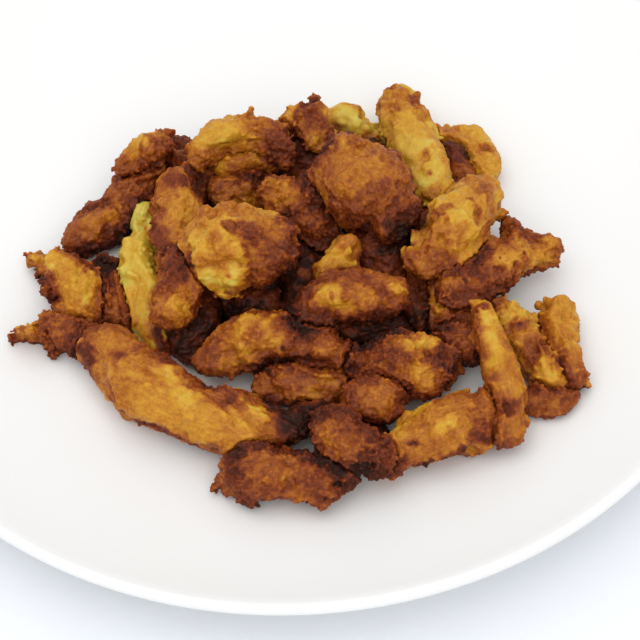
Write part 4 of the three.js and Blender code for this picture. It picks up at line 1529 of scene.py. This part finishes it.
        mound(-3.4, 5, (328, 512)), mound(2, 4, (238, 500), (256, 503)), mound(2, 4, (304, 451)),
    ), unevenness=1.1),
    Piece("plantain_right_end", GOLD, (
        dab(AMBER, 3.5, (552, 304), (548, 322)), dab(YELLOW, 3.2, (572, 316), (577, 346)),
        dab(YELLOW, 2.4, (538, 303), (541, 311)), dab(YELLOW, 2.4, (582, 312), (586, 314)),
        dab(AMBER, 2.5, (550, 296), (570, 296)), dab(GOLD, 3.5, (556, 338), (562, 348)),
        dab(BROWN, 3.6, (558, 356), (562, 370)), dab(AMBER, 4, (574, 356), (578, 374)),
        dab(RUST, 3, (572, 382), (580, 380)), dab(DARK, 2.4, (584, 388), (594, 384)),
        dab(AMBER, 2.4, (584, 376)), dab(GOLD, 5, (560, 310), (565, 340)),
        fringe(2.4, (536, 303), (540, 311), amount=0.8),
        fringe(2.2, (582, 312), (588, 314), amount=0.8),
        fringe(3, (584, 370), (590, 384), amount=0.7),
        mound(1.6, 4.5, (553, 297), (566, 297)), mound(1.4, 2.6, (538, 306)),
        mound(-3.4, 6, (592, 346), (598, 378)), mound(-0.8, 2, (564, 318), (568, 340)),
        mound(2.5, 6, (546, 320), (550, 345), (558, 365)), mound(-2, 4, (588, 330), (588, 350)),
        mound(-1.6, 4, (540, 294), (540, 302)), mound(-1, 3.4, (576, 295)),
        mound(1.2, 5, (577, 336), (579, 348)), mound(1.2, 5, (552, 295), (568, 295)),
    ), unevenness=0.6, smoothing=6),
    Piece("plantain_right_olive", YELLOW, (
        dab(PALE, 3.6, (500, 312), (518, 314)), dab(RUST, 2.6, (488, 299), (500, 304)),
        dab(BROWN, 2.2, (514, 327), (524, 324), (538, 323)), dab(BURNT, 0.9, (520, 324)),
        dab(AMBER, 4, (518, 335), (540, 336)), dab(DARK, 2.2, (535, 345), (537, 356)),
        dab(BROWN, 3.2, (526, 352), (532, 362)), dab(RUST, 2.6, (536, 358), (558, 362)),
        dab(YELLOW, 3, (540, 362), (548, 376)), dab(PALE, 1.6, (546, 370), (552, 376)),
        dab(BROWN, 3, (566, 372), (572, 386)), dab(BROWN, 2.6, (528, 386), (562, 390)),
        dab(AMBER, 3, (526, 374), (538, 382)), dab(BROWN, 2.6, (537, 343)),
        dab(RUST, 2, (533, 360)), dab(GOLD, 3, (501, 299)),
        fringe(2.6, (488, 300), (504, 305), (520, 308), amount=0.7),
        fringe(2.4, (512, 324), (538, 322), amount=0.5),
        mound(1.4, 2, (511, 306)), mound(-1.2, 2, (508, 330), (524, 328)),
        mound(-1.3, 2, (535, 346), (537, 356)), mound(1.0, 4, (544, 368)),
        mound(-3, 5, (554, 330), (562, 350), (570, 366)), mound(-3, 4, (539, 318)),
        mound(-4, 4, (543, 318)),
    ), unevenness=0.9),
    Piece("plantain_right_under", AMBER, (
        dab(AMBER, 2.6, (540, 400), (556, 405)), dab(RUST, 3, (528, 392), (552, 392), (570, 398)),
        dab(BROWN, 2.8, (530, 412), (552, 418), (576, 402)), dab(BROWN, 3, (566, 398), (572, 404)),
    )),
    Piece("plantain_right_wedge", BROWN, (
        dab(AMBER, 6, (498, 232), (512, 244)), dab(AMBER, 5, (518, 232), (530, 240)),
        dab(AMBER, 5, (550, 244), (560, 250)), dab(GOLD, 2.4, (522, 240), (532, 250), (540, 258)),
        dab(GOLD, 4, (492, 254), (510, 262)), dab(AMBER, 3.6, (484, 266), (500, 272)),
        dab(AMBER, 3.5, (520, 278), (552, 264)), dab(AMBER, 5, (446, 282), (466, 264)),
        dab(DARK, 0.7, (486, 251), (490, 250)), dab(DARK, 0.6, (495, 267)),
        dab(DARK, 0.6, (505, 267)), dab(BURNT, 0.7, (516, 263)), dab(DARK, 0.5, (500, 258)),
        dab(BURNT, 0.8, (482, 264)), dab(DARK, 0.8, (525, 252)),
        dab(DARK, 3, (504, 211), (510, 219)), dab(RUST, 3, (516, 222), (532, 232)),
        dab(DARK, 2.6, (474, 268), (482, 250)), dab(RUST, 3, (492, 286), (512, 280)),
        dab(YELLOW, 2, (551, 229), (556, 232)), dab(BROWN, 2, (556, 260), (562, 256)),
        dab(RUST, 3, (470, 292), (482, 294)), dab(GOLD, 3, (538, 266), (552, 262)),
        dab(BROWN, 2, (514, 226)), dab(BROWN, 3, (508, 231)), dab(RUST, 2.6, (486, 268)),
        dab(DARK, 2.6, (456, 271)), dab(BROWN, 4, (504, 228)), dab(BROWN, 3, (466, 310)),
        dab(RUST, 3, (440, 296), (462, 300)),
        fringe(3, (503, 211), (509, 216), amount=0.8),
        fringe(4, (550, 229), (564, 238), (568, 250)),
        fringe(2.4, (518, 222), (540, 235), amount=0.8),
        fringe(2.5, (556, 262), (540, 272), amount=0.4),
        mound(-2.2, 5, (526, 224), (540, 230)), mound(-2.4, 6, (566, 262), (548, 276), (526, 286)),
        mound(-1.2, 1.5, (482, 264)), mound(-1.2, 1.4, (495, 268), (505, 267)),
        mound(-1.2, 1.5, (516, 263)), mound(-1.2, 2, (520, 238), (534, 252)),
        mound(1.0, 3, (552, 232)), mound(0.6, 5, (450, 284)),
        mound(-0.7, 3, (470, 266), (474, 280)), mound(2.6, 4, (563, 248)),
        mound(2.4, 4, (512, 226), (520, 224)), mound(-2.4, 3.4, (499, 219)),
    ), unevenness=1.2, smoothing=6),
    Piece("plantain_right_inner", BROWN, (
        dab(AMBER, 5, (446, 292), (458, 284)), dab(GOLD, 3, (434, 298), (440, 312)),
        dab(AMBER, 4, (458, 308), (468, 312)), dab(DARK, 3, (444, 328), (460, 322)),
        dab(RUST, 3, (428, 329)), dab(AMBER, 3, (469, 321)), dab(RUST, 4, (430, 326)),
        mound(1.4, 5, (462, 310)),
    ), unevenness=1.2),
    Piece("plantain_back_hook", GOLD, (
        dab(GOLD, 5, (436, 126), (456, 130)), dab(YELLOW, 5, (472, 130), (484, 140)),
        dab(YELLOW, 4, (492, 162), (498, 174)), dab(AMBER, 2.2, (432, 119), (452, 120)),
        dab(AMBER, 2.6, (452, 138), (462, 150)), dab(BROWN, 1.6, (480, 148), (490, 148)),
        dab(GOLD, 3.4, (466, 144), (474, 166)),
        fringe(2, (452, 120), (470, 124), amount=0.4),
        mound(-1.2, 3, (462, 120), (470, 122)), mound(-1.0, 2, (478, 148), (490, 149)),
    ), unevenness=0.9, side_and_seam_shade=0.4),
    Piece("plantain_back_pale", PALE, (
        dab(RAW, 5, (338, 108), (356, 120)), dab(AMBER, 2.5, (346, 100), (360, 107), (369, 120)),
        dab(YELLOW, 3, (326, 112), (334, 118)), dab(PALE, 3, (350, 124), (364, 130)),
        dab(BROWN, 2.6, (326, 126), (338, 124)), dab(AMBER, 2.4, (346, 134), (372, 138)),
        dab(RAW, 3, (338, 110), (352, 120)), dab(YELLOW, 3, (324, 104), (328, 116)),
        mound(-4, 6, (376, 110), (380, 126)), mound(1.4, 5, (356, 126)),
        mound(-3, 4, (378, 110), (383, 122)),
    ), side_and_seam_shade=0.3, unevenness=0.6),
    Piece("plantain_back_ridge", GOLD, (
        dab(YELLOW, 4.5, (286, 114), (288, 124)), dab(RUST, 3.4, (310, 99), (316, 104)),
        dab(BROWN, 4, (312, 112), (320, 124)), dab(AMBER, 3.5, (300, 116), (306, 124)),
        dab(AMBER, 3, (308, 138), (318, 146)), dab(BURNT, 4.4, (292, 136), (302, 144)),
        dab(BURNT, 1.0, (296, 124)), dab(RUST, 3, (326, 130), (330, 138)),
        dab(AMBER, 2.4, (284, 121)), dab(BURNT, 3, (307, 143)), dab(RUST, 3, (295, 133)),
        dab(RUST, 4, (309, 110), (313, 126)), dab(GOLD, 2.6, (313, 140)),
        fringe(3, (306, 99), (318, 95), amount=0.8),
        fringe(2.5, (282, 110), (296, 104), amount=0.5),
        mound(1.4, 2.4, (316, 97)), mound(1.2, 4, (286, 118)), mound(2.5, 4, (321, 106)),
    ), unevenness=1.2, side_and_seam_shade=0.5),
    Piece("plantain_left_pale", RAW, (
        dab(PALE, 6, (144, 256), (138, 282)), dab(YELLOW, 4.5, (142, 292), (138, 306)),
        dab(RUST, 3, (124, 304), (134, 322), (150, 328)), dab(GOLD, 2, (164, 268), (160, 290)),
        dab(AMBER, 2, (152, 304), (156, 334)), dab(GOLD, 1.4, (126, 240), (123, 266)),
        dab(BROWN, 2, (135, 205), (131, 216)), dab(RUST, 3, (162, 348)),
        dab(GOLD, 2.4, (140, 318), (144, 330), (147, 342)), dab(DARK, 1.8, (158, 331)),
        dab(RUST, 1.6, (136, 323)), dab(YELLOW, 3, (138, 300), (142, 316)),
        dab(PALE, 3, (139, 240), (141, 256)), dab(DARK, 2.4, (161, 336), (165, 350)),
        mound(-1.6, 3.5, (130, 206), (128, 214)), mound(1.0, 5, (140, 262)),
        mound(2.4, 5, (131, 226), (127, 238), (124, 250)), mound(1.2, 5, (126, 268), (127, 286)),
        mound(1.8, 4, (130, 226), (142, 230)), mound(-4, 4, (136, 207), (130, 220)),
        mound(1.5, 5, (152, 262), (153, 285)), mound(1.2, 5, (156, 268), (157, 296)),
    ), unevenness=0.35, side_and_seam_shade=0.2, frayed=0.05),
    Piece("plantain_left_crescent", AMBER, (
        dab(GOLD, 8, (68, 264), (74, 284), (74, 304)), dab(RUST, 3, (76, 256), (82, 264)),
        dab(YELLOW, 4, (84, 272), (90, 292), (84, 308)), dab(PALE, 2.4, (88, 290), (88, 304)),
        dab(PALE, 4.2, (42, 256), (54, 266)), dab(RAW, 2.4, (46, 258), (51, 264)),
        dab(YELLOW, 2.6, (26, 252), (31, 256)), dab(BROWN, 2.6, (52, 245), (66, 250)),
        dab(BROWN, 2, (60, 274), (59, 296)), dab(DARK, 3, (34, 276), (44, 288), (48, 300)),
        dab(RUST, 3, (46, 278), (52, 290), (54, 302)), dab(AMBER, 3.6, (60, 314), (88, 318)),
        dab(RUST, 2.2, (94, 262), (101, 276)), dab(BROWN, 2.2, (98, 292), (98, 306)),
        dab(RUST, 2.2, (50, 249), (60, 251)), dab(AMBER, 2.4, (82, 316), (92, 311)),
        dab(DARK, 2, (78, 257)), dab(RUST, 2, (48, 278)),
        dab(GOLD, 4.4, (68, 272), (72, 292), (70, 306)), dab(GOLD, 2, (90, 288)),
        dab(YELLOW, 2.6, (52, 262)), dab(DARK, 3, (99, 274)), dab(DARK, 2.6, (44, 280), (50, 298)),
        fringe(4, (26, 253), (30, 272), (42, 288), (46, 305)),
        fringe(3, (48, 244), (58, 243), amount=0.7),
        mound(-5, 7, (10, 262), (20, 288), (32, 306)), mound(-1.6, 4, (34, 248), (40, 250)),
        mound(-1.6, 2.6, (54, 270), (58, 300)), mound(1.2, 6, (76, 284)),
        mound(-0.8, 2, (78, 262), (80, 284)), mound(1.6, 5, (44, 290), (52, 303)),
        mound(2.4, 4, (50, 250), (60, 250)), mound(-1.2, 4, (60, 270), (64, 300)),
        mound(-1.4, 3, (38, 292)),
    ), unevenness=1.1, smoothing=6),
    Piece("plantain_left_end", BROWN, (
        dab(GOLD, 4, (26, 332), (34, 328)), dab(YELLOW, 2.2, (26, 338), (30, 334)),
        dab(AMBER, 3.6, (44, 320), (52, 318)), dab(AMBER, 3, (60, 330), (68, 334)),
        dab(RUST, 3, (44, 330), (50, 338)), dab(RUST, 5, (74, 340), (86, 348)),
        dab(DARK, 3, (80, 354), (86, 364)), dab(BROWN, 2.6, (36, 352), (52, 352)),
        dab(DARK, 2.4, (81, 343)), dab(BROWN, 2.4, (57, 352)), dab(YELLOW, 3, (28, 331)),
        dab(GOLD, 2.4, (28, 331)),
        fringe(3, (26, 330), (28, 340), amount=0.5), fringe(3, (32, 352), (50, 354)),
        fringe(3, (34, 318), (44, 310), amount=0.8),
        mound(-5, 6, (8, 330), (12, 346)), mound(-3.2, 4, (38, 344)),
        mound(-2, 3.5, (64, 362), (84, 364)), mound(1.0, 3, (28, 334)), mound(1.2, 2, (38, 353)),
        mound(-5, 5, (14, 330), (16, 342), (30, 348)), mound(2.2, 4, (44, 317)),
        mound(-2.4, 3, (22, 334)),
    ), unevenness=1.3, smoothing=6),
    Piece("plantain_left_back_tip", AMBER, (
        dab(GOLD, 5, (136, 148), (152, 138)), dab(YELLOW, 3, (141, 140), (150, 135)),
        dab(YELLOW, 2.6, (126, 158), (132, 157)), dab(AMBER, 3, (116, 162), (122, 170)),
        dab(AMBER, 3, (158, 136), (166, 132)), dab(RUST, 3.4, (164, 146), (176, 136)),
        dab(DARK, 3, (158, 156), (174, 156)), dab(AMBER, 4, (126, 174), (150, 170)),
        dab(RUST, 2.4, (153, 166)), dab(AMBER, 3, (166, 133)), dab(BROWN, 3, (153, 166)),
        dab(BROWN, 4, (118, 171), (130, 168), (148, 161)), dab(RUST, 3, (161, 150), (152, 158)),
        dab(BROWN, 6, (152, 167), (129, 175)),
        fringe(3, (112, 160), (114, 172), amount=0.6),
        fringe(2.4, (158, 127), (162, 128), amount=0.7),
        fringe(2.4, (174, 130), (178, 140), amount=0.7),
        fringe(3, (118, 176), (150, 172), amount=0.6),
        mound(-4.5, 6, (188, 134), (190, 146)), mound(1.6, 5, (124, 162)),
        mound(-1.8, 2.6, (134, 152), (142, 162), (150, 166)), mound(1.2, 5, (154, 140)),
        mound(-2, 4, (104, 164), (108, 176)), mound(-3.4, 5, (186, 130)),
    ), unevenness=1.2, smoothing=6),
    Piece("plantain_left_back", RUST, (
        dab(AMBER, 6, (84, 232), (104, 218), (116, 206)),
        dab(AMBER, 6, (118, 186), (134, 174), (153, 172)), dab(RUST, 3, (122, 180), (128, 196)),
        dab(DARK, 3, (78, 214), (90, 205), (104, 202)),
        dab(BURNT, 3.6, (80, 252), (97, 250), (112, 242), (132, 220), (140, 206)),
        dab(DARK, 3, (148, 190), (140, 202)), dab(BROWN, 4, (68, 240), (72, 226)),
        dab(BROWN, 3, (126, 176), (140, 180), (156, 179)), dab(BROWN, 2.4, (103, 206)),
        dab(DARK, 3, (141, 200), (136, 214)), dab(DARK, 2.6, (108, 231)), dab(BROWN, 2, (68, 250)),
        dab(DARK, 2.4, (87, 252)), dab(BROWN, 4, (120, 186), (140, 186)),
        fringe(2.4, (100, 198), (112, 186), amount=0.6),
        fringe(3, (118, 176), (150, 170), amount=0.6),
        mound(-2.4, 4.5, (96, 196), (108, 184)), mound(-1.2, 4, (60, 238), (70, 218)),
        mound(1.4, 5, (88, 226), (108, 214)), mound(-1.4, 2.6, (92, 208), (112, 200), (130, 192)),
        mound(1.0, 4, (122, 184)), mound(2.5, 6, (112, 240), (130, 226)),
        mound(3.4, 5, (142, 199), (136, 213)),
    ), unevenness=1.0, frayed=0.1),
    Piece("plantain_left_under", BROWN, (
        dab(BURNT, 5, (96, 254), (100, 268), (108, 268)), dab(AMBER, 3.5, (112, 294), (116, 306)),
        dab(AMBER, 3, (120, 280), (122, 292)), dab(RUST, 3, (104, 286), (104, 310)),
        dab(BROWN, 3, (124, 312), (118, 322)), dab(BURNT, 2.4, (100, 274)),
        fringe(3, (104, 250), (112, 262), amount=0.7),
        mound(3, 4, (106, 254)),
    ), unevenness=1.4),
    # The pieces from here on lie hidden in the heap; their DARK and BURNT tones are painted shade
    # where the gaps show them.
    Piece("plantain_back_dark", RUST, (
        dab(AMBER, 5, (210, 170), (212, 180), (208, 200)), dab(BROWN, 3, (174, 154), (182, 146)),
        dab(DARK, 4, (198, 180), (200, 190)), dab(RUST, 4, (207, 198)), dab(BROWN, 4, (207, 198)),
        mound(3.5, 7, (206, 202)), mound(-3.4, 5, (182, 134), (192, 136)), mound(-4, 5, (180, 138)),
    ), shown=False),
    Piece("plantain_centre_under", DARK, (
        dab(BROWN, 5, (347, 325), (369, 324), (390, 322)), dab(BURNT, 4, (352, 340), (372, 344)),
        dab(BURNT, 5, (375, 333), (399, 326)),
    ), shown=False),
    Piece("plantain_centre_hidden", BROWN, (
        dab(AMBER, 6, (400, 268), (412, 278)), dab(BROWN, 5, (372, 264), (386, 264)),
        dab(BURNT, 7, (367, 243), (387, 254), (404, 244)), dab(DARK, 3, (371, 235)),
        dab(RUST, 3, (401, 266)), dab(BROWN, 4, (363, 261)), dab(RUST, 4, (378, 262), (399, 263)),
        dab(BROWN, 6, (362, 261)), dab(BURNT, 4, (395, 244)), dab(RUST, 5, (372, 240)),
        mound(2.0, 5, (384, 266)), mound(2.0, 5, (406, 276)),
    ), shown=False),
    Piece("plantain_right_hidden", RUST, (
        dab(BROWN, 4, (408, 274), (424, 280), (428, 300)), dab(RUST, 5, (404, 317)),
        dab(DARK, 4, (418, 300), (410, 318)), dab(BURNT, 3, (417, 316)),
    ), shown=False),
    Piece("plantain_left_hidden", BURNT, (
        dab(AMBER, 5, (212, 292), (226, 291)), dab(BROWN, 5, (240, 289)), dab(BURNT, 3, (256, 299)),
        dab(RUST, 4, (251, 289), (275, 306)),
    ), shown=False),
    Piece("plantain_back_hidden", DARK, (
        dab(BROWN, 6, (280, 172), (293, 172)), dab(RUST, 4, (297, 159)),
    ), shown=False),
    Piece("plantain_back_low", DARK, (
        dab(AMBER, 3.4, (456, 175), (468, 172)),
    ), shown=False),
    Piece("plantain_left_low", BURNT, (
        dab(BROWN, 4, (189, 358), (200, 338)), dab(BURNT, 4, (202, 324), (187, 346)),
        dab(RUST, 3, (176, 344), (172, 350)), dab(BROWN, 4, (206, 294)),
    ), shown=False),
    Piece("plantain_centre_low", BURNT, (
        dab(BROWN, 4, (308, 278)), dab(RUST, 4, (283, 285)),
    ), shown=False),
    Piece("plantain_front_low", BURNT, (
        dab(BROWN, 3, (315, 403)),
    ), shown=False),
)


# ---- Plate ----


@dataclass
class Plate:
    """The coupe plate: flat in the middle, rising in one curve to a rounded lip."""

    node: str = "plate"
    well_radius: float = 84 * MM
    well_top: float = 8 * MM
    wall: float = 5 * MM
    lip_wall: float = 3.6 * MM
    rise_power: float = 1.8
    lip_slope: float = 26.0
    foot_radius: float = 78 * MM
    foot_width: float = 5 * MM
    foot_flare: float = 1.2 * MM
    foot_rounding: float = 0.4 * MM
    rise_steps: int = 20
    lip_steps: int = 10
    sides: int = 256

    def profile(self) -> list[tuple[float, float]]:
        """Work out the outline, from under the middle out and back on top.

        Returns:
            The outline's points, as radius and height.
        """
        low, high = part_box(self.node)
        round_ = self.lip_wall / 2
        centre = (high[0] - round_, high[2] - round_)
        slope = math.radians(self.lip_slope)
        end = (centre[0] - round_ * math.sin(slope), centre[1] + round_ * math.cos(slope))

        def surface(radius: float) -> float:
            """Give the eating surface's height at a radius."""
            share = max(0.0, (radius - self.well_radius) / (end[0] - self.well_radius))
            return self.well_top + (end[1] - self.well_top) * share**self.rise_power

        under = self.well_top - self.wall
        inner, outer = self.foot_radius - self.foot_width, self.foot_radius
        rounding = self.foot_rounding
        points = [
            (0.0, under),
            (inner - self.foot_flare, under),
            (inner - rounding / 2, rounding),
            (inner + rounding, low[2]),
            (outer - rounding, low[2]),
            (outer + rounding / 2, rounding),
            (outer + self.foot_flare, under),
        ]
        steps = self.rise_steps
        rise = end[0] - self.well_radius
        radii = [self.well_radius + rise * i / steps for i in range(steps + 1)]
        for i, radius in enumerate(radii):
            wall = self.wall + (self.lip_wall - self.wall) * i / steps
            out = wall * math.sin(slope) * i / steps
            points.append((radius + out, surface(radius) - wall * math.cos(slope * i / steps)))
        for i in range(1, self.lip_steps):
            angle = math.pi * (i / self.lip_steps - 0.5) + slope
            out, up = round_ * math.cos(angle), round_ * math.sin(angle)
            points.append((centre[0] + out, centre[1] + up))
        points += [(radius, surface(radius)) for radius in reversed(radii)]
        points.append((0.0, self.well_top))
        return points

    def build(self, material: bpy.types.Material) -> bpy.types.Object:
        """Make the plate by turning its outline round the upright axis.

        Args:
            material: the glaze.

        Returns:
            The finished object.
        """
        work = bmesh.new()
        rings = []
        for radius, height in self.profile():
            if radius == 0.0:
                rings.append([work.verts.new((0, 0, height))])
                continue
            turns = [2 * math.pi * k / self.sides for k in range(self.sides)]
            spokes = [(radius * math.cos(a), radius * math.sin(a), height) for a in turns]
            rings.append([work.verts.new(spoke) for spoke in spokes])
        for a, b in zip(rings, rings[1:]):
            for k in range(self.sides):
                n = (k + 1) % self.sides
                corners = [a[k % len(a)], a[n % len(a)], b[n % len(b)], b[k % len(b)]]
                work.faces.new(list(dict.fromkeys(corners)))
        bmesh.ops.recalc_face_normals(work, faces=work.faces)
        mesh = bpy.data.meshes.new("coupe_plate")
        work.to_mesh(mesh)
        work.free()
        mesh.materials.append(material)
        mesh.shade_smooth()
        return stand("coupe_plate", mesh)


# ---- Studio ----


@dataclass(frozen=True)
class Lamp:
    """A soft square lamp that looks at the dish."""

    name: str
    place: tuple[float, float, float]
    size: float
    power: float


@dataclass
class Studio:
    """A pale floor and soft light."""

    floor_size: float = 6.0
    floor_colour: int = 0xF0F3F7
    floor_roughness: float = 0.7
    sky: int = 0xFBFBFD
    sky_strength: float = 0.78
    lamps: tuple[Lamp, ...] = (
        Lamp("key_lamp", (-0.4, 0.3, 2.7), 2.8, 20.0),
        Lamp("front_lamp", (0.2, -1.6, 2.3), 3.0, 25.0),
    )

    def build(self) -> None:
        """Make the floor, the lamps and the sky."""
        work = bmesh.new()
        bmesh.ops.create_grid(work, x_segments=1, y_segments=1, size=self.floor_size / 2)
        mesh = bpy.data.meshes.new("floor")
        work.to_mesh(mesh)
        work.free()
        floor = stand("floor", mesh)
        paint = bpy.data.materials.new("floor")
        paint.use_nodes = True
        shader = paint.node_tree.nodes["Principled BSDF"]
        shader.inputs["Base Color"].default_value = linear(self.floor_colour)
        shader.inputs["Roughness"].default_value = self.floor_roughness
        mesh.materials.append(paint)
        for lamp in self.lamps:
            data = bpy.data.lights.new(lamp.name, "AREA")
            data.size, data.energy = lamp.size, lamp.power
            hung = stand(lamp.name, data)
            hung.location = lamp.place
            hung.rotation_mode = "QUATERNION"
            hung.rotation_quaternion = (-Vector(lamp.place)).to_track_quat("-Z", "Y")
        world = bpy.data.worlds.new("sky")
        world.use_nodes = True
        back = world.node_tree.nodes["Background"]
        back.inputs["Color"].default_value = linear(self.sky)
        back.inputs["Strength"].default_value = self.sky_strength
        bpy.context.scene.world = world
        bpy.context.scene.view_settings.view_transform = "Standard"


def main() -> None:
    """Build the camera, the studio, the plate and the heap, and tie each piece to the frame."""
    logging.basicConfig(level=logging.INFO, format="%(message)s")
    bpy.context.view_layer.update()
    view = Viewpoint()
    view.build()
    Studio().build()

    plate = Plate().build(GlazeFinish().build())
    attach(plate, "root")
    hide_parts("plate")
    log.info("%s: %d faces", plate.name, len(plate.data.polygons))

    trees = (make_swell_tree(), make_shreds_tree(), make_crust_tree())
    fryer = Fryer(view, *trees, CrustFinish().build())
    fryer.gather()
    for seed, plan in enumerate(HEAP, start=1):
        piece = fryer.fry(plan, seed)
        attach(piece, "root")
        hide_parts(plan.node)
        log.info("%s: %d faces", piece.name, len(piece.data.polygons))

    bpy.data.objects.remove(fryer.heap)


if __name__ == "__main__":
    main()
